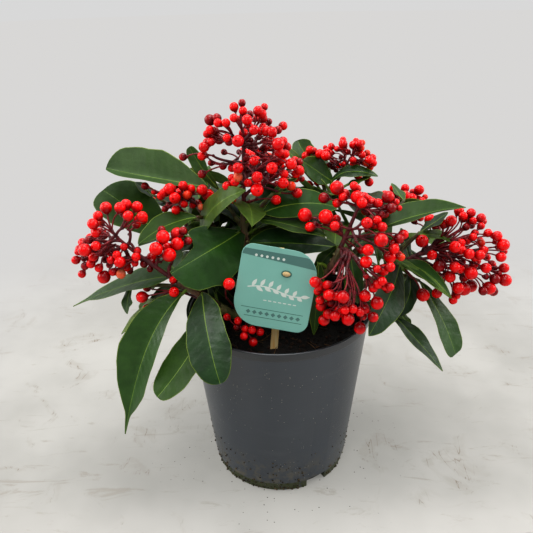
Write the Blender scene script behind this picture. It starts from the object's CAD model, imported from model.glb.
import math
import random

import bmesh
import bpy
import numpy as np
from mathutils import Matrix, Vector, noise
from mathutils.bvhtree import BVHTree


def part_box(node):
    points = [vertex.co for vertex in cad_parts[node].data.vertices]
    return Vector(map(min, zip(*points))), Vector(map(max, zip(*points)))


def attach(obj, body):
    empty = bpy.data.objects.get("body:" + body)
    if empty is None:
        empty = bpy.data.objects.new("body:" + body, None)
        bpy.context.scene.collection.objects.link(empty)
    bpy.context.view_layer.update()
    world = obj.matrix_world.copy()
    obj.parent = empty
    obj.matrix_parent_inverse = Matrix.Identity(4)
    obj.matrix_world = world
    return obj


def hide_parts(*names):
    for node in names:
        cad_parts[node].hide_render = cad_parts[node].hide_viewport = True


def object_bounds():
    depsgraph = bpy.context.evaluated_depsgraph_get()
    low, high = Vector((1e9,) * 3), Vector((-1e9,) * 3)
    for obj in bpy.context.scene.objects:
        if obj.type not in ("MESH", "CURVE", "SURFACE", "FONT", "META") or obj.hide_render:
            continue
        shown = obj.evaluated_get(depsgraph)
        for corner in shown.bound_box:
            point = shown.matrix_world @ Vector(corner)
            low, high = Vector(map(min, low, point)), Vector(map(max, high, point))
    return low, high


# A skimmia in a dark grey pot: leaves, berries on dark red stalks, bark, pot, compost and label.
# All sizes here are in millimetres, and become metres where a mesh is made.

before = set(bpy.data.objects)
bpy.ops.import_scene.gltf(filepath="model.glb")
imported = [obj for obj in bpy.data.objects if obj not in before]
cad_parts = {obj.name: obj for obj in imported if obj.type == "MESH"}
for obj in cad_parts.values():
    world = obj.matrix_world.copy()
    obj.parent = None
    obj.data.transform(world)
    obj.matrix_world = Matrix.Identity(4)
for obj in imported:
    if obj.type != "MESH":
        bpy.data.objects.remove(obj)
cadLow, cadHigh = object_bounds()
metre = 0.001
goldenTurn = math.radians(137.5)
print("frame loaded:", len(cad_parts), "nodes")


# Camera

camera = {
    "place": (0, -385.1, 338.4),
    "yaw": -1.19,      # degrees, turned a little to the left
    "pitch": 25.30,    # degrees below level
    "roll": -1.27,
    "focal": 620,      # in pixels of the square picture
    "picture": 533,    # pixels a side
    "sensor": 36,
}


def vector(values):
    return np.array(values, float)


def around(sides):
    # angles that share out a full turn
    return np.linspace(0, 2 * math.pi, sides, endpoint=False)


def unit(values):
    values = vector(values)
    return values / max(1e-9, np.linalg.norm(values))


def cameraAxes():
    # right, up and forward of the camera
    yaw, pitch, roll = (math.radians(camera[key]) for key in ("yaw", "pitch", "roll"))
    forward = vector((math.sin(yaw) * math.cos(pitch), math.cos(yaw) * math.cos(pitch), -math.sin(pitch)))
    level = vector((math.cos(yaw), -math.sin(yaw), 0))
    above = np.cross(level, forward)
    right = level * math.cos(roll) + above * math.sin(roll)
    up = above * math.cos(roll) - level * math.sin(roll)
    return right, up, forward


viewRight, viewUp, viewForward = cameraAxes()
viewPlace = vector(camera["place"])
worldUp = vector((0, 0, 1))


def sightLine(u, v):
    # the direction in which a pixel looks
    middle = camera["picture"] / 2
    return unit(viewForward * camera["focal"] + viewRight * (u - middle) + viewUp * (middle - v))


def seen(u, v, depth):
    # the point that a pixel shows, at a depth along Y
    line = sightLine(u, v)
    return viewPlace + line * ((depth - viewPlace[1]) / line[1])


def pixelOf(point):
    away = point - viewPlace
    scale = camera["focal"] / (away @ viewForward)
    middle = camera["picture"] / 2
    return middle + scale * (away @ viewRight), middle - scale * (away @ viewUp)


def pixelSize(point):
    # how many millimetres a pixel spans at a point
    return (point - viewPlace) @ viewForward / camera["focal"]


def addItem(name, data):
    item = bpy.data.objects.new(name, data)
    bpy.context.scene.collection.objects.link(item)
    return item


def makeCamera():
    data = bpy.data.cameras.new("camera")
    data.sensor_width = camera["sensor"]
    data.lens = camera["sensor"] * camera["focal"] / camera["picture"]
    data.clip_start = 0.01
    data.clip_end = 50
    item = addItem("camera", data)
    turn = Matrix((viewRight, viewUp, -viewForward)).transposed().to_4x4()
    item.matrix_world = Matrix.Translation(Vector(viewPlace * metre)) @ turn
    bpy.context.scene.camera = item


makeCamera()


# Shader maths

def tone(red, green, blue):
    # a colour as the eye reads it, 0 to 255, as the shader's light values
    return tuple(((c / 255 + 0.055) / 1.055) ** 2.4 if c > 10 else c / 255 / 12.92
                 for c in (red, green, blue)) + (1.0,)


class Value:
    # one output of a node; sums with it add Math nodes
    def __init__(self, nodes, socket):
        self.nodes = nodes
        self.socket = socket

    def sum(self, operation, first, second):
        return self.nodes.add("ShaderNodeMath", {"operation": operation}, {0: first, 1: second})

    def __add__(self, other):
        return self.sum("ADD", self, other)

    def __radd__(self, other):
        return self.sum("ADD", other, self)

    def __sub__(self, other):
        return self.sum("SUBTRACT", self, other)

    def __rsub__(self, other):
        return self.sum("SUBTRACT", other, self)

    def __mul__(self, other):
        return self.sum("MULTIPLY", self, other)

    def __rmul__(self, other):
        return self.sum("MULTIPLY", other, self)

    def __truediv__(self, other):
        return self.sum("DIVIDE", self, other)

    def __abs__(self):
        return self.sum("ABSOLUTE", self, 0)

    def over(self, edge, width):
        # 0 below the edge, 1 above edge + width, smooth between
        return self.nodes.add("ShaderNodeMapRange", {"interpolation_type": "SMOOTHSTEP"},
                              {"Value": self, "From Min": edge, "From Max": edge + width})


# a speck's cell in sizes of the speck, and its edge and blur in cells
speck = {"cell": 3, "edge": 0.12, "blur": 0.10}


class Nodes:
    # a node tree that grows by expressions
    def __init__(self, tree, space):
        self.tree = tree
        self.place = self.add("ShaderNodeTexCoord", {}, {}, space)

    def add(self, kind, settings, inputs, output=0):
        node = self.tree.nodes.new(kind)
        for key, value in settings.items():
            setattr(node, key, value)
        for key, value in inputs.items():
            if isinstance(value, Value):
                self.tree.links.new(value.socket, node.inputs[key])
            else:
                node.inputs[key].default_value = value
        return Value(self, node.outputs[output])

    def scaled(self, x, y, z):
        return self.add("ShaderNodeVectorMath", {"operation": "MULTIPLY"}, {0: self.place, 1: (x, y, z)})

    def noise(self, size, detail=3.0, rough=0.5, bend=0.0, place=None):
        # size is about the width of a blotch, in millimetres
        inputs = {"Vector": place or self.place, "Scale": 1 / (size * metre), "Detail": detail,
                  "Roughness": rough, "Distortion": bend}
        return self.add("ShaderNodeTexNoise", {}, inputs, "Fac")

    def specks(self, size, share):
        # round specks of about that size, over about that share of the cells
        inputs = {"Vector": self.place, "Scale": 1 / (size * speck["cell"] * metre)}
        cells = self.add("ShaderNodeTexVoronoi", {}, inputs, "Distance")
        pick = self.add("ShaderNodeTexVoronoi", {}, inputs, "Color")
        chance = self.add("ShaderNodeSeparateColor", {}, {"Color": pick}, "Red")
        return (1 - cells.over(speck["edge"], speck["blur"])) * chance.over(1 - share, 0.01)

    def mix(self, first, second, factor):
        # each colour is a socket, or red, green and blue as the eye reads them
        first, second = (one if isinstance(one, Value) else tone(*one) for one in (first, second))
        return self.add("ShaderNodeMix", {"data_type": "RGBA"}, {0: factor, 6: first, 7: second}, 2)

    def axis(self, name):
        return self.add("ShaderNodeSeparateXYZ", {}, {0: self.place}, name)


class Finish(Nodes):
    # a material: constants go on the shader's own sockets, what varies is linked
    def __init__(self, name, **constants):
        self.material = bpy.data.materials.new(name)
        self.material.use_nodes = True
        super().__init__(self.material.node_tree, "Object")
        self.shader = self.tree.nodes["Principled BSDF"]
        for key, value in constants.items():
            self.shader.inputs[key.replace("_", " ")].default_value = value

    def link(self, value, name):
        self.tree.links.new(value.socket, self.shader.inputs[name])

    def part(self, name, axis):
        # one axis of a named attribute of the mesh
        got = self.add("ShaderNodeAttribute", {"attribute_name": name}, {}, "Vector")
        return self.add("ShaderNodeSeparateXYZ", {}, {0: got}, axis)

    def done(self, color, rough, height, depth):
        # depth of the relief in millimetres for a height of 1
        self.link(color, "Base Color")
        self.link(rough, "Roughness")
        relief = {"Height": height, "Distance": depth * metre, "Strength": 1.0}
        self.link(self.add("ShaderNodeBump", {}, relief), "Normal")
        return self.material


# Finishes

studio = {
    "wall": (202, 201, 200), "floor": (133, 131, 127), "floorLight": (150, 148, 144),
    "floorGlow": (110, 110, 107), "frontGlow": (132, 131, 128), "stain": (104, 92, 76), "crumb": (34, 26, 18),
    "nearFloor": 210, "farFloor": 560,    # between these distances the table gives way to the studio
    "floorRadius": 6.0,                   # metres
    "ambient": 0.27, "fromBehind": 0.34, "fromAbove": 0.50, "fromSides": 0.36,
    "exposure": 0.0, "look": "Medium High Contrast",
}
leafTones = {
    "leafDeep": {"low": (12, 34, 10), "high": (30, 62, 22), "rough": 0.40},
    "leafShade": {"low": (18, 44, 10), "high": (38, 70, 22), "rough": 0.46, "shine": 0.13},
    "leafSoft": {"low": (32, 54, 16), "high": (50, 76, 28), "rough": 0.46, "shine": 0.14},
    "leafSheen": {"low": (44, 66, 30), "high": (66, 90, 48), "rough": 0.42, "shine": 0.20},
    "leafMid": {"low": (28, 56, 16), "high": (50, 82, 30), "rough": 0.42},
    "leafLight": {"low": (50, 74, 20), "high": (76, 100, 36), "rough": 0.44, "shine": 0.20},
    "leafYoung": {"low": (70, 92, 22), "high": (106, 126, 42), "rough": 0.44, "shine": 0.24},
    "leafRib": {"low": (70, 98, 24), "high": (108, 132, 44), "rough": 0.44},
    "leafMargin": {"low": (60, 88, 22), "high": (116, 134, 46), "rough": 0.44},
    "leafUnder": {"low": (72, 100, 40), "high": (100, 126, 58), "rough": 0.55},
}
berryTones = {
    "berryBright": {"low": (226, 2, 6), "high": (250, 8, 10)},
    "berryRed": {"low": (202, 1, 8), "high": (230, 5, 11)},
    "berryDark": {"low": (124, 2, 10), "high": (168, 4, 14)},
    "berryOrange": {"low": (216, 30, 12), "high": (236, 62, 24)},
    "berryPale": {"low": (222, 82, 50), "high": (236, 116, 76)},
    "berryScar": {"low": (104, 6, 8), "high": (140, 16, 14)},
}
stalkTones = {
    "stalkDark": {"low": (62, 9, 16), "high": (106, 22, 30)},
    "stalkRed": {"low": (96, 9, 20), "high": (142, 26, 36)},
}
woodTones = {
    "bark": ((88, 78, 48), (168, 154, 108)), "barkMoss": (104, 106, 58), "barkFleck": (148, 134, 108),
    "young": ((60, 34, 28), (112, 80, 56)), "youngMoss": (84, 88, 46),
    "twig": ((66, 58, 34), (104, 106, 58)), "twigRed": (92, 36, 34),
    "stick": ((250, 206, 132), (255, 232, 176)), "stickDamp": (120, 84, 42),
}
potTones = {
    "low": (28, 37, 48), "high": (39, 50, 62),
    "dust": (100, 92, 70), "wipe": (84, 90, 96), "soil": (22, 16, 10), "rim": (24, 27, 31),
    "algae": (52, 58, 22), "lime": (188, 182, 162),
}
black = (0, 0, 0)


def leafFinish(name, low, high, rough, shine=0.34):
    finish = Finish(name, Specular_IOR_Level=shine)
    blotch = finish.noise(13, 3)
    fine = finish.noise(1.6, 3)
    sheen = finish.noise(7, 3, 0.6, 0.5)
    across = abs(finish.part("blade", "X"))
    along = finish.part("blade", "Y")
    # the third part is the leaf's own number, and shifts its tone
    own = finish.add("ShaderNodeMath", {"operation": "FRACT"}, {0: finish.part("blade", "Z") * 0.618})
    # side veins run out and forward from the rib
    comb = (along - across * 7 + finish.noise(14, 1) * 1.2) * 0.17
    saw = finish.add("ShaderNodeMath", {"operation": "PINGPONG"}, {0: comb, 1: 0.5}) * 2
    vein = 1 - saw.over(0.0, 0.85)
    color = finish.mix(low, high, blotch.over(0.28, 0.44) * 0.50 + own * 0.36 + fine * 0.14)
    paler = [min(255, c * 1.2 + 4) for c in high]
    color = finish.mix(color, paler, vein * 0.05 + (1 - across.over(0.04, 0.25)) * 0.14)
    uneven = blotch * 0.9 + sheen * 0.30 - vein * 0.06 + fine * 0.06
    return finish.done(color, sheen * 0.30 + fine * 0.06 + (rough - 0.18), uneven, 1.0)


def berryFinish(name, low, high):
    finish = Finish(name, Specular_IOR_Level=0.34)
    cloud = finish.noise(5, 2)
    ripe = finish.mix(low, high, cloud.over(0.3, 0.4))
    # darker towards the stalk
    shaded = (low[0] * 0.66, low[1], low[2])
    color = finish.mix(shaded, ripe, finish.part("blade", "Y").over(0.18, 0.52))
    return finish.done(color, cloud * 0.12 + 0.13, finish.noise(0.5, 1), 0.05)


def stalkFinish(name, low, high):
    finish = Finish(name)
    cloud = finish.noise(3, 3)
    color = finish.mix(low, high, cloud.over(0.3, 0.4))
    return finish.done(color, cloud * 0.2 + 0.38, finish.noise(0.7, 2), 0.15)


leafFinishes = {name: leafFinish(name, **values) for name, values in leafTones.items()}
berryFinishes = {name: berryFinish(name, **values) for name, values in berryTones.items()}
stalkFinishes = {name: stalkFinish(name, **values) for name, values in stalkTones.items()}


def barkFinish():
    finish = Finish("bark")
    ridges = finish.noise(2.2, 5, 0.6, 0.4, finish.scaled(1, 1, 0.35))
    color = finish.mix(*woodTones["bark"], ridges.over(0.34, 0.30))
    color = finish.mix(color, woodTones["barkMoss"], finish.noise(16, 3).over(0.40, 0.2) * 0.75)
    color = finish.mix(color, woodTones["barkFleck"], finish.specks(0.5, 0.25) * 0.7)
    return finish.done(color, ridges * 0.2 + 0.62, ridges, 0.8)


def youngBarkFinish():
    finish = Finish("youngBark")
    ridges = finish.noise(2.0, 5, 0.6, 0.4, finish.scaled(1, 1, 0.4))
    color = finish.mix(*woodTones["young"], ridges.over(0.36, 0.3))
    color = finish.mix(color, woodTones["youngMoss"], finish.noise(8, 3).over(0.46, 0.16) * 0.6)
    return finish.done(color, ridges * 0.2 + 0.5, ridges, 0.5)


def twigFinish():
    finish = Finish("twigBark")
    cloud = finish.noise(4, 3)
    color = finish.mix(*woodTones["twig"], cloud.over(0.35, 0.3))
    color = finish.mix(color, woodTones["twigRed"], finish.noise(11, 2).over(0.5, 0.14) * 0.6)
    return finish.done(color, cloud * 0.2 + 0.5, finish.noise(0.8, 3), 0.3)


def potFinish():
    finish = Finish("potPlastic", Specular_IOR_Level=0.92)
    cloud = finish.noise(38, 4)
    high = finish.axis("Z") / metre
    side = finish.axis("X") / metre
    # dirt lies near the foot, more of it on the left
    near = (1 - high.over(2, 40)) * (1.2 - (side + 50).over(0, 90) * 0.6)
    dust = finish.noise(7, 6, 0.70).over(0.46, 0.16)
    wipe = finish.noise(30, 4, 0.6, 1.2, finish.scaled(0.35, 0.35, 1)).over(0.52, 0.20)
    soil = finish.specks(0.8, 0.30) * finish.noise(16, 4, 0.6).over(0.46, 0.08) * near.over(0.15, 0.4)
    stray = finish.specks(0.62, 0.05) * finish.noise(30, 2).over(0.46, 0.10)
    rim = high.over(pot["height"] - pot["rimDepth"] - 1.2, 1.2)
    algae = finish.noise(5, 5, 0.66).over(0.34, 0.14) * (1 - high.over(6.0, 3.4))
    lime = finish.specks(0.44, 0.11) * finish.noise(24, 2).over(0.46, 0.08)
    layers = {"dust": dust * near * 0.72, "wipe": wipe * 0.16, "soil": soil + stray, "rim": rim * 0.8,
              "algae": algae * 0.96, "lime": lime * 0.9}
    color = finish.mix(potTones["low"], potTones["high"], cloud)
    for layer, factor in layers.items():
        color = finish.mix(color, potTones[layer], factor)
    rough = cloud * 0.10 + dust * near * 0.25 + algae * 0.3 + soil * 0.3 + 0.27
    grain = finish.noise(0.5, 2)
    rings = finish.noise(1.0, 2, 0.5, 0.0, finish.scaled(0.03, 0.03, 1.0))
    uneven = grain * 0.4 + rings * 0.25 + cloud * 1.2 + soil * 3 + lime * 2 + algae * 2
    return finish.done(color, rough, uneven, 0.12)


def compostFinish(name, low, high):
    finish = Finish(name)
    cloud = finish.noise(2.4, 5, 0.65)
    color = finish.mix(low, high, cloud.over(0.42, 0.3))
    return finish.done(color, cloud * 0.2 + 0.8, finish.noise(1.2, 5, 0.7), 1.2)


def cardFinish(name, low, high, rough=0.42):
    finish = Finish(name)
    cloud = finish.noise(22, 3)
    grain = finish.noise(0.35, 2)
    color = finish.mix(low, high, cloud * 0.8 + grain * 0.2)
    return finish.done(color, grain * 0.08 + cloud * 0.1 + (rough - 0.08), grain * 0.5 + cloud, 0.05)


def stickFinish():
    finish = Finish("stickWood")
    grain = finish.noise(1.1, 4, 0.6, 0.6, finish.scaled(1, 1, 0.05))
    damp = 1 - (finish.axis("Z") / metre).over(112, 22)
    color = finish.mix(*woodTones["stick"], grain.over(0.3, 0.4))
    color = finish.mix(color, woodTones["stickDamp"], damp * 0.15 + finish.noise(12, 3) * 0.10)
    return finish.done(color, grain * 0.2 + 0.55, grain, 0.25)


def floorFinish():
    # near the pot a painted table, further off as bright and plain as the studio's wall
    finish = Finish("floorPale", Specular_IOR_Level=0.0, Emission_Strength=1.0)
    cloud = finish.noise(160, 4, 0.6)
    scuff = finish.noise(16, 6, 0.72, 1.6, finish.scaled(0.25, 1, 1)).over(0.58, 0.10)
    smudge = finish.noise(46, 4, 0.65, 0.8).over(0.56, 0.12)
    scratch = finish.noise(30, 3, 0.5, 2.2, finish.scaled(1, 0.2, 1))
    line = (1 - abs(scratch - 0.5).over(0.0, 0.012)) * smudge
    reach = finish.add("ShaderNodeVectorMath", {"operation": "LENGTH"}, {0: finish.place}, "Value") / metre
    crumbs = finish.specks(0.8, 0.10) * (1 - reach.over(56, 64))
    far = reach.over(studio["nearFloor"], studio["farFloor"] - studio["nearFloor"])
    color = finish.mix(studio["floor"], studio["floorLight"], cloud.over(0.35, 0.3))
    color = finish.mix(color, studio["stain"], scuff * 0.40 + smudge * 0.24 + line * 0.7)
    color = finish.mix(color, studio["crumb"], crumbs)
    side = abs(finish.axis("X") / metre)
    front = (1 - (finish.axis("Y") / metre).over(-88, 50)) * (0.35 + side.over(20, 60) * 0.65)
    glow = finish.mix(studio["floorGlow"], studio["frontGlow"], front)
    glow = finish.mix(glow, black, crumbs + line * 0.4)
    finish.link(finish.mix(glow, studio["wall"], far), "Emission Color")
    return finish.done(finish.mix(color, black, far), cloud * 0.2 + 0.6, scuff * 0.3 + cloud, 0.15)


# Meshes

class Gather:
    # collects points and faces of many small shapes, and joins them into one piece
    def __init__(self, name, finishes):
        self.name = name
        self.finishes = finishes
        self.order = {kind: number for number, kind in enumerate(finishes)}
        self.points, self.faces, self.kinds, self.blades = [], [], [], []
        self.count = 0

    def add(self, points, faces, kinds, blades=None):
        # kinds is one word, or one for each face
        base = self.count
        self.points.append(np.asarray(points, float))
        self.blades.append(np.zeros((len(points), 3)) if blades is None else blades)
        self.faces.extend([tuple(corner + base for corner in face) for face in faces])
        if isinstance(kinds, str):
            self.kinds.extend([self.order[kinds]] * len(faces))
        else:
            self.kinds.extend(self.order[kind] for kind in kinds)
        self.count += len(points)

    def loft(self, rings, kinds, blades=None):
        # rings of equal count, with closed ends; kinds is one word or one for each column
        rings = np.asarray(rings, float)
        rows, columns = rings.shape[:2]
        faces, named = [], []
        for row in range(rows - 1):
            for column in range(columns):
                after = (column + 1) % columns
                faces.append((row * columns + column, row * columns + after,
                              (row + 1) * columns + after, (row + 1) * columns + column))
                named.append(kinds if isinstance(kinds, str) else kinds[column])
        last = (rows - 1) * columns
        faces.append(tuple(range(columns - 1, -1, -1)))
        faces.append(tuple(range(last, last + columns)))
        named += [kinds if isinstance(kinds, str) else kinds[0]] * 2
        self.add(rings.reshape(-1, 3), faces, named, blades)

    def tube(self, path, radii, sides, kind):
        path = vector(path)
        turns = around(sides)
        rings = []
        for point, side, normal, radius in zip(path, *framesAlong(path), radii):
            rings.append(point + radius * (np.outer(np.cos(turns), side) + np.outer(np.sin(turns), normal)))
        self.loft(rings, kind)

    def make(self, smooth=True):
        mesh = bpy.data.meshes.new(self.name)
        mesh.from_pydata((np.concatenate(self.points) * metre).tolist(), [], self.faces)
        mesh.polygons.foreach_set("material_index", self.kinds)
        mesh.polygons.foreach_set("use_smooth", [smooth] * len(self.faces))
        blades = np.concatenate(self.blades)
        if blades.any():
            mesh.attributes.new("blade", "FLOAT_VECTOR", "POINT")
            mesh.attributes["blade"].data.foreach_set("vector", blades.astype(np.float32).ravel())
        for kind in self.order:
            mesh.materials.append(self.finishes[kind])
        mesh.update()
        return addItem(self.name, mesh)


def framesAlong(path):
    # sides and normals along a path, without twist; side x normal = forward
    path = vector(path)
    forward = np.gradient(path, axis=0)
    forward /= np.maximum(1e-9, np.linalg.norm(forward, axis=1))[:, None]
    normal = vector((0.31, 0.17, 0.93))
    if abs(unit(normal) @ forward[0]) > 0.96:
        normal = vector((1, 0.2, 0))
    sides, normals = [], []
    for ahead in forward:
        normal = unit(normal - ahead * (normal @ ahead))
        sides.append(np.cross(normal, ahead))
        normals.append(normal)
    return vector(sides), vector(normals)


def arc(share, start, control, end):
    # a curve that leaves its start towards its control point, and comes from there to its end
    return (1 - share) ** 2 * start + 2 * share * (1 - share) * control + share ** 2 * end


def bend(start, middle, end, count):
    # a smooth curve that passes through three points
    return arc(np.linspace(0, 1, count)[:, None], start, 2 * middle - (start + end) / 2, end)


def through(points, count):
    # a smooth curve through several points
    points = vector(points)
    ends = np.vstack([2 * points[0] - points[1], points, 2 * points[-1] - points[-2]])
    spans = len(points) - 1
    curve = []
    for step in np.linspace(0, spans, count):
        at = min(int(step), spans - 1)
        t = step - at
        a, b, c, d = ends[at:at + 4]
        curve.append(0.5 * (2 * b + (c - a) * t + (2 * a - 5 * b + 4 * c - d) * t ** 2
                            + (3 * b - a - 3 * c + d) * t ** 3))
    return vector(curve)


def place(item, slotName, *nodes):
    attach(item, "root")
    if nodes:
        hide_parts(*nodes)


# Trunk and boughs

bark = {
    "sides": 18,
    "rough": 0.16,        # share of the radius
    "swell": 0.10,        # share of the radius, at an old leaf scar
    "scarStep": 9.5,      # from one old scar to the next
    "youngFrom": 0.62,    # share of a bough after which its bark is young
    "inTrunk": 0.55,      # how deep in the trunk a bough starts
    "boughSteps": 44, "trunkSteps": 26,
    "trunk": [(-8, -6, 114.3), (-8.3, -5.2, 118), (-8, -4.2, 125), (-7.4, -3, 132), (-7, -2, 137.5)],
    "trunkRadii": [9.4, 7.4, 6.4, 6.1, 5.4],
}
boughs = {
    # way points, then the radius at the foot and at the tip
    "bough_crown": ([(-8, -3, 138), (-16, -7, 160), (-22, -5, 180), (-22, -3, 196)], 3.4, 2.3),
    "bough_left": ([(-14, -9, 127), (-30, -23, 132), (-49, -35, 153), (-64, -35, 163)], 3.4, 2.2),
    "bough_left_upper": ([(-13, -1, 134), (-30, 9, 158), (-47, 20, 180), (-55, 22, 193)], 3.0, 2.0),
    "bough_rear_left": ([(-11, 0, 128), (-34, 26, 133), (-56, 48, 146), (-70, 60, 162)], 3.0, 2.0),
    "bough_rear": ([(-8, 5, 132), (-11, 26, 148), (-13, 52, 164), (-12, 70, 180)], 3.2, 2.1),
    "bough_rear_right": ([(-1, 2, 135), (14, 22, 156), (30, 47, 177), (42, 60, 192)], 3.1, 2.1),
    "bough_back_right": ([(-1, -2, 127), (22, 22, 130), (52, 48, 139), (74, 62, 153)], 3.0, 2.0),
    "bough_right": ([(0, -7, 126), (28, -8, 131), (60, -4, 144), (83, -1, 158)], 3.3, 2.2),
    "bough_centre": ([(0, -9, 133), (15, -20, 148), (31, -29, 166), (39, -29, 182)], 3.0, 2.0),
    "bough_front": ([(-12, -11, 122), (-18, -25, 124), (-22, -41, 131)], 2.2, 1.4),
}
boughPaths = {}


def limb(gather, path, radii, seed):
    # a woody limb with ridges, swellings at its old leaf scars and a round section that wanders; seed 1 is
    # the trunk, which has old bark only
    sides, normals = framesAlong(path)
    turns = around(bark["sides"])
    run = np.concatenate([[0], np.cumsum(np.linalg.norm(np.diff(path, axis=0), axis=1))])
    rings = []
    for point, side, normal, radius, far in zip(path, sides, normals, radii, run):
        ring = []
        swell = bark["swell"] * math.exp(-((far + seed * 3.7) % bark["scarStep"] - 2) ** 2 / 1.2)
        for turn in turns:
            out = side * math.cos(turn) + normal * math.sin(turn)
            coarse = noise.noise(Vector(out * 1.7) + Vector((seed * 7.1, far * 0.09, 0)))
            fine = noise.noise(Vector(out * 4.5) + Vector((0, seed * 3.3, far * 0.42)))
            grow = 1 + swell + bark["rough"] * (0.6 * coarse + 0.55 * fine)
            ring.append(point + out * radius * grow)
        rings.append(ring)
    young = int(len(rings) * (bark["youngFrom"] if seed > 1 else 1))
    gather.loft(rings[:young + 1], "bark")
    if young < len(rings):
        gather.loft(rings[young:], "youngBark")


def scars(gather, path, radii, draw):
    # small raised leaf scars round a limb
    sides, normals = framesAlong(path)
    for number in range(3, len(path) - 3, 3):
        turn = number * goldenTurn
        out = sides[number] * math.cos(turn) + normals[number] * math.sin(turn)
        ahead = unit(path[number + 1] - path[number])
        foot = path[number] + out * radii[number] * 0.85
        tip = foot + out * (0.9 + 0.5 * draw.random()) + ahead * 0.6
        gather.tube([foot - ahead * 0.5, (foot + tip) / 2, tip], [1.1, 0.85, 0.3], 7, "bark")


def makeBark():
    draw = random.Random(11)
    gather = Gather("bark_limbs", {"bark": barkFinish(), "youngBark": youngBarkFinish()})
    stem = through(bark["trunk"], bark["trunkSteps"])
    known = np.linspace(0, 1, len(bark["trunkRadii"]))
    stemRadii = np.interp(np.linspace(0, 1, bark["trunkSteps"]), known, bark["trunkRadii"])
    limb(gather, stem, stemRadii, 1)
    heart = vector(bark["trunk"][-1])
    for number, (name, (points, foot, tip)) in enumerate(boughs.items()):
        start = vector(points[0]) * (1 - bark["inTrunk"]) + (heart + vector((0, 0, -7))) * bark["inTrunk"]
        path = through([start] + [vector(p) for p in points], bark["boughSteps"])
        radii = np.linspace(foot * 1.12, tip, len(path))
        boughPaths[name] = path
        limb(gather, path, radii, 2 + number)
        scars(gather, path[10:], radii[10:], draw)
    place(gather.make(), "bark", "trunk", *boughs)


makeBark()
print("bark made")


# Berries

berry = {
    "radius": 3.3, "sides": 14, "rings": 9,
    "grow": 1.07,            # how much larger berries are made than they were measured
    "sunk": 0.22,            # how much deeper a dark one stands, as a share of its cluster
    "fellows": 0.56,         # chance that a berry that shows has one more behind it, in each of two rounds
    "near": 0.97,            # how near two may come, as a share of their radii
    "neck": 0.96,            # where the stalk meets the berry, as a share of its radius
    "smallShare": 0.80,      # under this share of the common radius a berry set by rule is a dull one
    "darkChance": 0.4, "orangeChance": 0.006, "toneChances": (0.74, 0.26),
}
bunch = {
    "reach": 14, "most": 6,              # how wide a bunch may be, and how many berries it may have
    "branchReach": 24, "branchMost": 3,  # the same for the bunches on a branch
    "pull": 0.62, "mostPull": 13.0,      # how far a bunch's knot is drawn from its middle to the axis
    "fork": 0.55, "fanFork": 0.40,       # where a branch forks, as a share of its length
    "fromFork": 0.35,                    # chance that a berry's stalk starts at the fork
    "wander": 7,                         # pixels between a berry that shows and its fellow behind
    "rounds": 16, "push": 0.34, "heldPush": 1.6,
}
stalkRadii = {
    "axis": (1.5, 0.6),      # at its foot, and its end's share of that
    "branch": (1.25, 1.0), "twig": (0.95, 0.75), "knot": (0.7, 1.15, 0.5),
    "thin": (0.55, 0.50), "cup": (0.5, 1.25, 1.45), "spur": (0.95, 0.7), "spurCup": (0.5, 1.2, 1.4),
}
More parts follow.
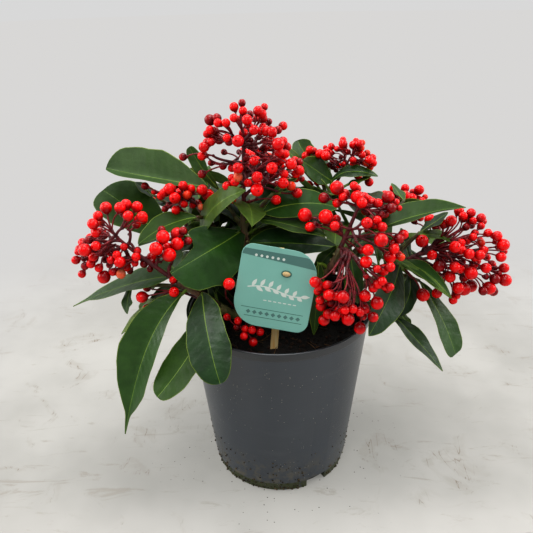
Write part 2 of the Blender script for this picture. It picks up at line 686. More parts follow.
# a berry that shows: pixel, pixel, radius in pixels, and its tone where that differs
dark, pale, orange = "berryDark", "berryPale", "berryOrange"
panicles = {
    # axis: where the stalk ends, as pixel, pixel, depth; rule: how many berries are set by rule
    "berries_crown": {
        "bough": "bough_crown", "axis": (243, 142, 0),
        "shown": [
            (242, 103, 3.6), (234, 107, 4.4), (243, 111, 4.1), (234, 118, 4.1), (247, 120, 5.1),
            (258, 111, 4.7), (262, 114, 4.5), (210, 120, 5.3, dark), (217, 118, 4.3, dark),
            (218, 123, 4.1), (226, 123, 4.2), (210, 130, 4.1), (207, 134, 3.8), (211, 142, 3.9),
            (227, 138, 4.1), (229, 142, 3.8), (238, 141, 5.8), (204, 147, 5.0), (202, 156, 4.2),
            (211, 163, 3.0, dark), (224, 152, 3.0, dark), (223, 166, 3.7, dark), (183, 157, 3.8),
            (202, 174, 4.0, dark), (238, 168, 5.2), (238, 177, 4.5, pale), (232, 178, 3.9),
            (235, 182, 4.4), (227, 186, 4.4), (257, 177, 5.4), (248, 183, 4.1), (257, 190, 6.2),
            (254, 161, 4.5), (246, 158, 4.1, dark), (248, 142, 2.8, dark), (239, 152, 2.7, dark),
            (245, 131, 2.7, dark), (254, 130, 4.8), (263, 127, 3.8), (261, 131, 3.9), (266, 131, 4.8),
            (272, 132, 4.9), (278, 130, 3.9, dark), (278, 144, 6.0), (283, 141, 4.2), (285, 154, 4.2),
            (279, 152, 4.5), (282, 160, 4.2), (277, 162, 3.8), (263, 155, 3.5, dark),
            (265, 147, 3.5, dark), (255, 147, 2.8, dark), (272, 168, 5.6), (266, 175, 2.8, dark),
            (274, 158, 3.6), (291, 164, 5.3), (299, 162, 3.8), (299, 170, 4.6), (296, 174, 4.0),
            (284, 174, 4.2), (283, 183, 5.3), (302, 179, 2.7, dark), (291, 186, 4.5), (297, 193, 4.9),
            (276, 200, 4.8), (233, 200, 3.3, pale), (268, 141, 3.0), (259, 137, 3.0, dark),
            (216, 134, 3.0, dark), (249, 167, 3.4, dark)]},
    "berries_left_upper": {
        "bough": "bough_left_upper", "axis": (184, 198, 12),
        "shown": [
            (170, 189, 5.4), (164, 193, 4.2), (161, 196, 3.9), (175, 198, 5.5), (154, 192, 2.7),
            (145, 186, 3.6, dark), (183, 186, 4.6), (191, 189, 4.3), (187, 195, 4.4, orange),
            (184, 204, 3.7), (176, 210, 4.3), (165, 209, 3.2, dark), (202, 190, 5.1), (208, 195, 5.6),
            (201, 207, 3.3, pale), (180, 212, 3.6), (169, 205, 3.2, dark), (192, 200, 3.2, dark)]},
    "berries_left": {
        "bough": "bough_left", "axis": (118, 238, -33),
        "shown": [
            (106, 208, 5.7), (120, 208, 5.4), (126, 205, 5.4), (137, 207, 5.3), (128, 216, 5.0),
            (142, 217, 5.3), (138, 220, 4.4), (98, 216, 4.7), (93, 224, 5.3), (101, 223, 3.2, orange),
            (96, 233, 4.4), (89, 240, 4.1, dark), (96, 246, 4.7), (85, 250, 6.2), (82, 244, 3.1),
            (78, 252, 3.3), (93, 257, 4.2), (76, 260, 4.2), (84, 259, 2.8, dark), (85, 266, 3.9),
            (91, 264, 4.2), (82, 274, 3.8), (99, 268, 4.1), (104, 277, 6.2), (113, 272, 3.8),
            (111, 260, 3.9), (117, 255, 4.2), (120, 262, 5.4), (121, 274, 4.6, pale), (124, 247, 3.7),
            (136, 257, 4.4), (137, 252, 3.6), (135, 263, 3.5), (130, 271, 3.1, dark),
            (144, 264, 3.7, dark), (152, 262, 3.4, dark), (129, 259, 3.1, dark), (150, 269, 3.1, dark),
            (163, 237, 6.5), (177, 234, 6.2), (177, 244, 6.2), (156, 249, 6.5), (167, 247, 4.4),
            (169, 255, 6.6), (183, 231, 4.0, dark), (188, 241, 4.0, dark), (105, 250, 2.6, dark),
            (100, 240, 2.7, dark), (110, 254, 2.6)]},
    "berries_rear_right": {
        "bough": "bough_rear_right", "axis": (350, 158, 65), "small": 0.8,
        "shown": [
            (343, 144, 4.2), (343, 140, 3.1), (337, 149, 2.8), (353, 145, 3.8), (359, 144, 4.0),
            (362, 143, 3.1, orange), (361, 148, 3.4, orange), (348, 152, 2.9), (358, 153, 3.4, orange),
            (367, 153, 3.1, orange), (362, 155, 3.7), (353, 160, 3.4), (353, 164, 3.3),
            (357, 164, 3.3, dark), (369, 160, 4.2), (366, 163, 3.7, orange), (372, 158, 4.0),
            (373, 163, 3.7), (370, 167, 3.4, orange), (306, 156, 4.1), (310, 150, 3.9), (314, 151, 3.5),
            (320, 154, 4.5), (326, 156, 4.6), (327, 151, 3.1), (331, 153, 3.0), (329, 165, 2.8, dark),
            (333, 167, 2.9, dark), (341, 157, 2.4, dark), (346, 165, 2.6, dark), (338, 163, 2.4, dark),
            (350, 170, 2.5, dark), (358, 176, 3.8), (364, 174, 2.9), (369, 182, 4.2), (309, 184, 3.4),
            (317, 183, 2.8)]},
    "berries_centre": {
        "bough": "bough_centre", "axis": (358, 207, -25),
        "shown": [
            (337, 188, 6.6), (324, 198, 5.2, dark), (345, 194, 4.8), (343, 197, 4.1), (337, 203, 4.4),
            (354, 186, 4.1), (357, 189, 4.1), (357, 197, 6.1), (364, 197, 4.5), (362, 203, 5.2),
            (368, 213, 3.1, dark), (378, 203, 4.3), (388, 197, 5.8), (396, 202, 3.3),
            (391, 208, 5.0, dark), (399, 208, 2.9), (377, 220, 4.3), (381, 215, 4.0, dark),
            (385, 214, 3.8, dark), (382, 227, 4.8), (367, 223, 5.5), (326, 217, 7.0), (305, 215, 6.6),
            (310, 227, 4.7), (315, 225, 3.6, dark), (335, 226, 4.8), (381, 240, 6.6), (368, 250, 5.6),
            (399, 239, 4.7, dark), (394, 249, 4.8), (398, 255, 4.4), (390, 257, 5.8),
            (401, 257, 3.9, orange)]},
    "berries_centre_low": {
        "bough": "bough_centre", "axis": (357, 262, -42), "fan": 0.8,
        "shown": [
            (366, 262, 5.8), (383, 270, 5.6), (390, 267, 4.8), (377, 269, 3.9), (366, 276, 3.0, dark),
            (382, 281, 4.3), (378, 284, 4.6), (373, 288, 4.6), (385, 286, 4.4), (390, 287, 4.0),
            (387, 289, 3.9), (365, 296, 5.5), (377, 303, 6.1), (365, 309, 4.8), (373, 317, 5.0),
            (360, 328, 5.8), (348, 319, 6.2), (353, 309, 4.3), (360, 312, 4.4), (363, 316, 4.1),
            (343, 297, 6.0), (336, 296, 4.5), (329, 295, 5.4), (327, 285, 4.4), (315, 282, 5.2),
            (320, 286, 4.7), (318, 291, 4.3), (325, 289, 4.5), (320, 300, 4.1), (321, 306, 5.0),
            (328, 314, 4.8), (324, 320, 5.5), (335, 316, 5.0), (345, 310, 4.3), (339, 310, 4.3),
            (331, 303, 4.0, dark)]},
    "berries_right": {
        "bough": "bough_right", "axis": (436, 247, 0), "fan": 0.9,
        "shown": [
            (459, 211, 4.7), (463, 216, 4.1), (471, 213, 4.4), (481, 218, 4.4), (473, 221, 3.6),
            (481, 226, 3.6), (451, 221, 5.3), (444, 224, 4.4), (430, 220, 5.4), (466, 227, 3.6),
            (438, 229, 2.7, dark), (475, 233, 3.6), (473, 237, 3.8), (467, 240, 3.7), (488, 233, 4.0),
            (481, 243, 3.8), (497, 236, 4.8), (503, 245, 6.0), (455, 247, 5.7), (461, 250, 4.6),
            (461, 243, 4.2), (422, 241, 6.1), (432, 255, 4.8), (444, 255, 4.5, dark),
            (442, 249, 3.6, dark), (453, 257, 2.8, dark), (469, 254, 5.1), (475, 257, 4.4),
            (480, 255, 4.8), (484, 250, 4.0), (501, 257, 4.8), (504, 268, 4.7), (486, 268, 4.9),
            (474, 265, 3.7), (495, 268, 2.7, dark), (499, 273, 2.8, dark), (439, 266, 5.8, dark),
            (455, 267, 5.3), (460, 269, 4.4), (465, 268, 3.9), (471, 273, 6.2), (450, 277, 5.3),
            (486, 277, 2.8, dark), (505, 280, 6.0), (489, 288, 6.2), (493, 291, 4.8, dark),
            (495, 279, 5.0, dark), (483, 291, 4.2, dark), (471, 286, 6.0), (464, 289, 6.2),
            (458, 288, 5.4), (456, 295, 4.3), (453, 300, 4.1), (437, 293, 4.9), (423, 295, 6.2),
            (414, 221, 3.1, dark)]},
    "berries_back_right": {
        "bough": "bough_back_right", "axis": (402, 208, 70), "rule": 46,
        "shown": [
            (405, 196, 5.0), (406, 201, 4.8), (412, 198, 4.4), (419, 190, 4.7), (425, 197, 2.7, orange)]},
    "berries_front": {
        "bough": "bough_front", "axis": (244, 330, -45), "small": 0.66,
        "shown": [
            (227, 317, 3.4), (238, 321, 3.8), (237, 327, 3.5, dark), (245, 329, 3.8), (252, 330, 4.0),
            (260, 332, 3.9), (244, 336, 3.9), (253, 342, 4.3), (248, 322, 2.8, dark),
            (258, 327, 3.0, dark)]},
    "berries_rear": {"bough": "bough_rear", "rule": 60},
    "berries_rear_left": {"bough": "bough_rear_left", "rule": 56},
}
spurs = {
    # a few berries on thin stalks of their own, low on a bough; from: the step of its path where the stalk
    # leaves it; a fourth value of a berry: how much deeper than the rest it hangs
    "spurLeft": {"bough": "bough_left", "from": 26, "fork": (172, 291, -36), "depth": -38,
                 "shown": [(147, 288, 4.1, 14), (142, 297, 6.0), (174, 292, 5.3), (147, 308, 4.3),
                           (173, 280, 4.0)]},
    "spurLabel": {"bough": "bough_left", "from": 19, "fork": (226, 297, -36), "depth": -50,
                  "shown": [(229, 284, 6.1)]},
}
skyGaps = [
    # where the wall shows through the crown, as pixels
    (225, 128), (224, 144), (212, 154), (219, 165), (233, 152), (184, 222), (222, 223), (292, 153),
    (305, 180), (157, 188), (132, 240), (117, 244), (125, 253), (144, 258), (162, 269), (136, 268),
    (160, 283), (131, 306), (184, 300), (173, 337), (336, 156), (348, 156), (363, 186), (372, 176),
    (384, 172), (372, 237), (394, 228), (350, 223), (339, 247), (354, 230), (419, 249), (430, 263),
    (416, 261), (444, 250), (414, 285), (423, 312), (479, 269), (477, 281)]
gapRadius = 4.5
# clusters with no leaf behind them: centre and half size in pixels
leafless = [(245, 143, 40, 36), (352, 150, 24, 16)]


def inGap(u, v, room=0.0):
    return any(math.hypot(u - a, v - b) < gapRadius + room for a, b in skyGaps)


def berryShape():
    # a ball a little longer than wide, with a dimple and a scar at its far end; points run from the stalk
    sides, rings = berry["sides"], berry["rings"]
    points, faces, kinds = [], [], []
    turns = around(sides)
    slopes = list(np.linspace(0.22, math.pi - 0.14, rings)) + [math.pi - 0.05]
    for slope in slopes:
        dimple = 0.06 * max(0.0, (slope - 2.75) / 0.3)
        for turn in turns:
            wide = math.sin(slope)
            points.append((wide * math.cos(turn), wide * math.sin(turn), -1.05 * math.cos(slope) - dimple))
    for row in range(len(slopes) - 1):
        for column in range(sides):
            after = (column + 1) % sides
            faces.append((row * sides + column, row * sides + after,
                          (row + 1) * sides + after, (row + 1) * sides + column))
            kinds.append("berryScar" if row == len(slopes) - 2 else "flesh")
    last = (len(slopes) - 1) * sides
    faces += [tuple(range(sides - 1, -1, -1)), tuple(range(last, last + sides))]
    kinds += ["flesh", "berryScar"]
    return vector(points), faces, kinds


berryPoints, berryFaces, berryKinds = berryShape()


def addBerry(gather, centre, ahead, radius, kind):
    side, normal = (a[0] for a in framesAlong(vector([(0, 0, 0), ahead])))
    turned = np.stack([side, normal, unit(ahead)])
    kinds = [kind if word == "flesh" else word for word in berryKinds]
    # the mark is 0 at the stalk and 1 at the far end
    count = len(berryPoints)
    marks = np.column_stack([np.zeros(count), berryPoints[:, 2] / 2.1 + 0.5, np.ones(count)])
    gather.add(centre + berryPoints * radius @ turned, berryFaces, kinds, marks)


def ellipsoidHits(line, centre, half):
    # how far along a sight line an ellipsoid starts and ends, or where the line passes nearest
    offset = (viewPlace - centre) / half
    step = line / half
    a, b, c = step @ step, 2 * offset @ step, offset @ offset - 1
    inside = b * b - 4 * a * c
    if inside <= 0:
        return -b / (2 * a), -b / (2 * a)
    root = math.sqrt(inside)
    return (-b - root) / (2 * a), (-b + root) / (2 * a)


def spreadBerries(name, draw):
    # points, radii and tones of berries: those that show, their fellows behind, and those set by rule; then
    # the middle of their mass
    spec = panicles[name]
    low, high = (vector(corner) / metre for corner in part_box(name))
    centre, half = (low + high) / 2, (high - low) / 2
    common = berry["radius"] * spec.get("small", 1.0)
    half = np.maximum(half - common * 0.8, 3.0)
    found = []
    shown = spec.get("shown", [])
    for u, v, pixels, *named in shown:
        line = sightLine(u, v)
        near, far = ellipsoidHits(line, centre, half)
        # the larger it shows, the nearer it stands
        sunk = berry["sunk"] if dark in named else 0.0
        share = max(0.0, (5.2 - pixels) * 0.22) + sunk + draw.random() * 0.12
        point = viewPlace + line * (near + (far - near) * min(0.9, share))
        found.append((point, pixelSize(point) * pixels * berry["grow"], line, named[0] if named else None))
    for entry in shown * 2:
        u, v = (pixel + draw.uniform(-bunch["wander"], bunch["wander"]) for pixel in entry[:2])
        line = sightLine(u, v)
        near, far = ellipsoidHits(line, centre, half)
        if inGap(u, v, 3) or far - near < 5 * berry["radius"] or draw.random() > berry["fellows"]:
            continue
        deep = near + (far - near) * draw.uniform(0.50, 1.0)
        found.append((viewPlace + line * deep, common * draw.uniform(0.66, 0.98), None, None))
    count = spec.get("rule", 0)
    for number in range(count):
        rise = 1 - 2 * (number + 0.5) / count
        level = math.sqrt(1 - rise * rise)
        turn = number * goldenTurn
        out = vector((level * math.cos(turn), level * math.sin(turn), rise))
        point = centre + out * half * draw.uniform(0.55, 1.0)
        if "shown" in spec and out[1] < -0.2:
            continue
        if "shown" not in spec and out @ unit(centre - boughPaths[spec["bough"]][-1]) < -0.35:
            continue
        if inGap(*pixelOf(point), 4):
            continue
        found.append((point, berry["radius"] * draw.uniform(0.78, 1.04), None, None))
    return settle(*zip(*found)), centre


def settle(points, radii, lines, tones):
    # berries that overlap move apart; those that show move along their sight lines only
    points, radii = vector(points), vector(radii)
    held = vector([0.0 if line is None else 1.0 for line in lines])[:, None]
    lines = vector([(0, 0, 0) if line is None else line for line in lines])
    for turn in range(bunch["rounds"]):
        away = points[:, None] - points[None]
        gaps = np.linalg.norm(away, axis=2) + np.eye(len(points)) * 99
        short = np.maximum(0, (radii[:, None] + radii[None]) * berry["near"] - gaps)
        push = (away / gaps[..., None] * short[..., None]).sum(1) * bunch["push"]
        push = push * (1 - held) + lines * (push * lines).sum(1)[:, None] * held * bunch["heldPush"]
        points = points + push
    return points, radii, tones


def clusters(points, reach, most, start):
    # groups of near neighbours, the farthest from the start first
    left = list(range(len(points)))
    groups = []
    while left:
        first = max(left, key=lambda i: np.linalg.norm(points[i] - start))
        near = sorted(left, key=lambda i: np.linalg.norm(points[i] - points[first]))
        group = [i for i in near[:most] if np.linalg.norm(points[i] - points[first]) < reach]
        groups.append(group)
        left = [i for i in left if i not in group]
    return groups


def nearestOn(path, point):
    return int(np.argmin(np.linalg.norm(path - point, axis=1)))


def stalk(gather, start, end, ahead, radii, sides, draw, kind="stalkDark"):
    # a curved stalk that leaves its parent forwards and turns to its end
    span = np.linalg.norm(end - start)
    lean = start + (end - start) * 0.5 + unit(ahead) * span * 0.16
    lean = lean + worldUp * draw.uniform(-0.04, 0.05) * span
    count = 5 if span < 9 else 8
    path = bend(start, lean, end, count)
    gather.tube(path, np.linspace(*radii, count), sides, kind)
    return unit(path[-1] - path[-2])


def sized(name, size):
    return [radius * size for radius in stalkRadii[name]]


def berryStalk(stalks, begin, ahead, point, off, radius, cup, size, draw):
    # the thin stalk of one berry, and the cup that holds the berry
    neck = point - off * radius * berry["neck"]
    stalk(stalks, begin, neck, ahead, sized("thin", size), 6, draw, "stalkRed")
    stalks.tube([neck - off * 0.9, neck - off * 0.1, neck + off * 0.7], sized(cup, size), 7, "stalkRed")


def growPanicle(name, stalks, fruit, draw):
    spec = panicles[name]
    (points, radii, tones), centre = spreadBerries(name, draw)
    shoot = boughPaths[spec["bough"]]
    start = shoot[-1]
    ahead = unit(shoot[-1] - shoot[-4])
    end = seen(*spec["axis"]) if "axis" in spec else centre * 0.85 + start * 0.15
    span = np.linalg.norm(end - start)
    axis = bend(start, (start + end) / 2 + ahead * span * 0.12, end, 24)
    size = spec.get("small", 1.0)
    thick, taper = stalkRadii["axis"]
    stalks.tube(axis, np.linspace(thick * size, thick * size * taper, len(axis)), 10, "stalkDark")
    hubs, members = [], []
    for group in clusters(points, bunch["reach"], bunch["most"], start):
        mean = points[group].mean(0)
        pull = axis[nearestOn(axis, mean)] - mean
        far = np.linalg.norm(pull)
        hubs.append(mean + pull / max(far, 1) * min(bunch["mostPull"], far * bunch["pull"]))
        members.append(group)
    hubs = vector(hubs)
    # in a fan each bunch has its own branch
    most, split = (1, bunch["fanFork"]) if "fan" in spec else (bunch["branchMost"], bunch["fork"])
    for family in clusters(hubs, bunch["branchReach"], most, start):
        mean = hubs[family].mean(0)
        root = nearestOn(axis, mean)
        far = np.linalg.norm(axis[root] - mean)
        back = max(0, root - int(far * spec.get("fan", 0.5) / max(0.4, span / len(axis))))
        foot = axis[back]
        fork = foot + (mean - foot) * split
        heading = unit(axis[min(back + 1, len(axis) - 1)] - axis[max(back - 1, 0)])
        direction = stalk(stalks, foot, fork, heading, sized("branch", size), 8, draw)
        for one in family:
            hub = hubs[one]
            leaving = stalk(stalks, fork, hub, direction, sized("twig", size), 7, draw)
            stalks.tube([hub - leaving * 0.8, hub, hub + leaving * 0.9], sized("knot", size), 7, "stalkDark")
            mood = draw.choices(["berryBright", "berryRed"], berry["toneChances"])[0]
            for member in members[one]:
                point, radius = points[member], radii[member]
                off = unit(point - hub)
                begin = fork if draw.random() < bunch["fromFork"] else hub
                berryStalk(stalks, begin, leaving, point, off, radius, "cup", size, draw)
                kind = tones[member] or mood
                chance = draw.random()
                if not tones[member] and radius < berry["radius"] * size * berry["smallShare"]:
                    kind = dark if chance < berry["darkChance"] else "berryRed"
                elif not tones[member] and chance < berry["orangeChance"]:
                    kind = orange
                tilt = vector([draw.uniform(-0.2, 0.2) for _ in range(3)])
                addBerry(fruit, point, off + tilt, radius, kind)
    return len(points)


def growSpur(name, stalks, fruit, draw):
    spec = spurs[name]
    start = boughPaths[spec["bough"]][spec["from"]]
    fork = seen(*spec["fork"])
    leaving = stalk(stalks, start, fork, fork - start, stalkRadii["spur"], 7, draw)
    for u, v, pixels, *further in spec["shown"]:
        point = seen(u, v, spec["depth"] + sum(further) + draw.uniform(-3, 3))
        radius = pixelSize(point) * pixels
        off = unit(point - fork)
        berryStalk(stalks, fork, leaving, point, off, radius, "spurCup", 1.0, draw)
        addBerry(fruit, point, off, radius, "berryBright")


shownBerries = []


def makeBerries():
    draw = random.Random(23)
    groups = {
        "berries_middle": ["berries_crown", "berries_centre", "berries_centre_low", "berries_front"],
        "berries_left_side": ["berries_left", "berries_left_upper"],
        "berries_right_side": ["berries_right", "berries_rear_right"],
        "berries_back": ["berries_rear", "berries_rear_left", "berries_back_right"],
    }
    stalks = Gather("stalks", stalkFinishes)
    total = 0
    for piece, names in groups.items():
        fruit = Gather(piece, berryFinishes)
        for name in names:
            total += growPanicle(name, stalks, fruit, draw)
        if piece == "berries_left_side":
            for name in spurs:
                growSpur(name, stalks, fruit, draw)
        place(fruit.make(), "berries", *names)
        shownBerries.append(fruit)
    place(stalks.make(), "bark")
    print("berries made:", total)


makeBerries()


# the pot's measures stand here because the leaves keep clear of it
pot = {
    "height": 127, "rimRadius": 65, "footRadius": 48.4, "wall": 1.8, "rimDepth": 5.5, "rimStep": 1.9,
    "footHeight": 7.6, "footStep": 1.8, "notchWidth": 16, "notchHeight": 8.6, "notchTurns": (-58, 62, 182),
    "notchDeep": 14, "notchRound": 2.2,
    "holes": 6, "holeRadius": 3.6, "holeRing": 39, "holeDeep": 8, "holeFrom": 20,
    "steps": 160, "corner": 0.7, "sharpFrom": 40,    # the last in degrees
}


# Leaves

leafShape = {
    "stations": 24,
    "thick": 0.5,
    "margin": 0.50,                # width of the paler edge
    "rib": 0.42,                   # half width of the rib at the leaf's foot
    "lines": (0.17, 0.40, 0.68),   # rows of points between rib and edge, as shares of the half width
    "groove": 0.28, "keel": 0.55,  # how deep the rib lies above, and how far it stands out below
    "grow": 0.80,                  # how slowly a leaf widens from its foot
    "wave": 0.9,                   # how far its edges rise and fall
    "stalk": (1.35, 0.9), "longStalk": (1.7, 1.05), "longFrom": 22,
    "folds": (-22, 32), "foldMore": 6,
}


def bladeWidth(share, blunt, tail, grow):
    # half width along the leaf, 1 at its widest
    body = np.clip(share / (1 - tail), 0, 1)
    peak = grow / (grow + blunt)
    top = peak ** grow * (1 - peak) ** blunt
    return body ** grow * (1 - body) ** blunt / top


def leafEdges(share, width, number, blunt, tail, grow, edges):
    # half width along the leaf, and each edge's distance from the rib as a share of it, left hand first
    half = width / 2 * bladeWidth(share, blunt, tail, grow)
    if edges:
        sides = [width / 2 * np.interp(share, *zip(*edge)) for edge in edges]
        half = np.maximum(*sides)
    if tail:
        half = np.maximum(half, np.where(share > 0.5, 1.4 * (1 - share) / tail, 0))
    half = np.maximum(half, 0.75 * (1 - share) ** 3 + 0.12)
    ragged = [1 + 0.028 * np.sin(share * 13 + number * a) + 0.020 * np.sin(share * 29 + number * b)
              for a, b in ((1.3, 2.9), (2.1, 0.7))]
    if edges:
        ragged = [one * side / np.maximum(half, 0.01) for one, side in zip(ragged, sides)]
    return half, ragged


def addLeaf(gather, foot, mid, tip, face, width, shade, number, blunt, fold, wave, twist=0, tail=0.0,
            grow=leafShape["grow"], edges=None):
    # a leaf as one thin closed form, laid along a curve from foot to tip; the higher blunt, the more slender
    # its tip; fold and twist are in degrees, and tail is the share that a drawn-out tip takes
    count = leafShape["stations"] * (2 if edges else 1)
    share = (1 - np.cos(np.linspace(0, math.pi, count))) / 2
    control = 2 * mid - (foot + tip) / 2
    s = share[:, None]
    spine = arc(s, foot, control, tip)
    forward = 2 * (1 - s) * (control - foot) + 2 * s * (tip - control)
    forward /= np.maximum(1e-6, np.linalg.norm(forward, axis=1))[:, None]
    length = np.linalg.norm(np.diff(spine, axis=0), axis=1).sum()
    half, ragged = leafEdges(share, width, number, blunt, tail, grow, edges)
    slope = math.radians(fold)
    phase = number * 2.4
    rings, blades = [], []
    for at, point, ahead, wide, first, second in zip(share, spine, forward, half, *ragged):
        turned = Matrix.Rotation(math.radians(twist) * (at - 0.5), 3, Vector(ahead))
        up = vector(turned @ Vector(unit(face - ahead * (face @ ahead))))
        side = np.cross(up, ahead)
        margin = min(leafShape["margin"], wide * 0.2)
        rib = min(leafShape["rib"] * (1 - 0.75 * at), wide * 0.30)
        hand = vector([rib] + [line * wide for line in leafShape["lines"]] + [wide - margin, wide])
        xs = np.concatenate([-hand[::-1], hand])
        q = xs / wide
        xs = xs * np.where(xs > 0, first, second)
        # folded along the rib, with waves that die out towards the tip
        calm = math.sin(math.pi * min(1, at * 1.15)) ** 0.7 if at < 0.87 else 0.0
        lift = (np.sqrt(xs ** 2 + 1.2) - 1.1) * math.tan(slope)
        lift = lift + wave * calm * q ** 2 * np.sin(10.4 * at + phase + np.where(q > 0, 0, 1.9))
        lift = lift + 0.175 * wave * calm * np.sin(9 * at + phase * 2) * (1 - q ** 2)
        body = leafShape["thick"] * (1 - q ** 6)
        groove = -leafShape["groove"] * np.exp(-(xs / 0.8) ** 2) * min(1, wide / 3)
        keel = leafShape["keel"] * np.exp(-(xs / 0.9) ** 2) * (1 - 0.8 * at)
        flat = point + np.outer(xs * math.cos(slope), side)
        above = flat + np.outer(lift + groove, up)
        below = flat + np.outer(lift - body - keel * (q ** 2 < 0.98), up)
        rings.append(np.vstack([above[::-1], below[1:-1]]))
        mark = np.column_stack([q, np.full(len(q), at * length), np.full(len(q), number)])
        blades.append(np.vstack([mark[::-1], mark[1:-1]]))
    top, under = (["leafMargin"] + [kind] * 4 + ["leafRib"] + [kind] * 4 + ["leafMargin"]
                  for kind in (shade, "leafUnder"))
    gather.loft(rings, top + under, np.vstack(blades))


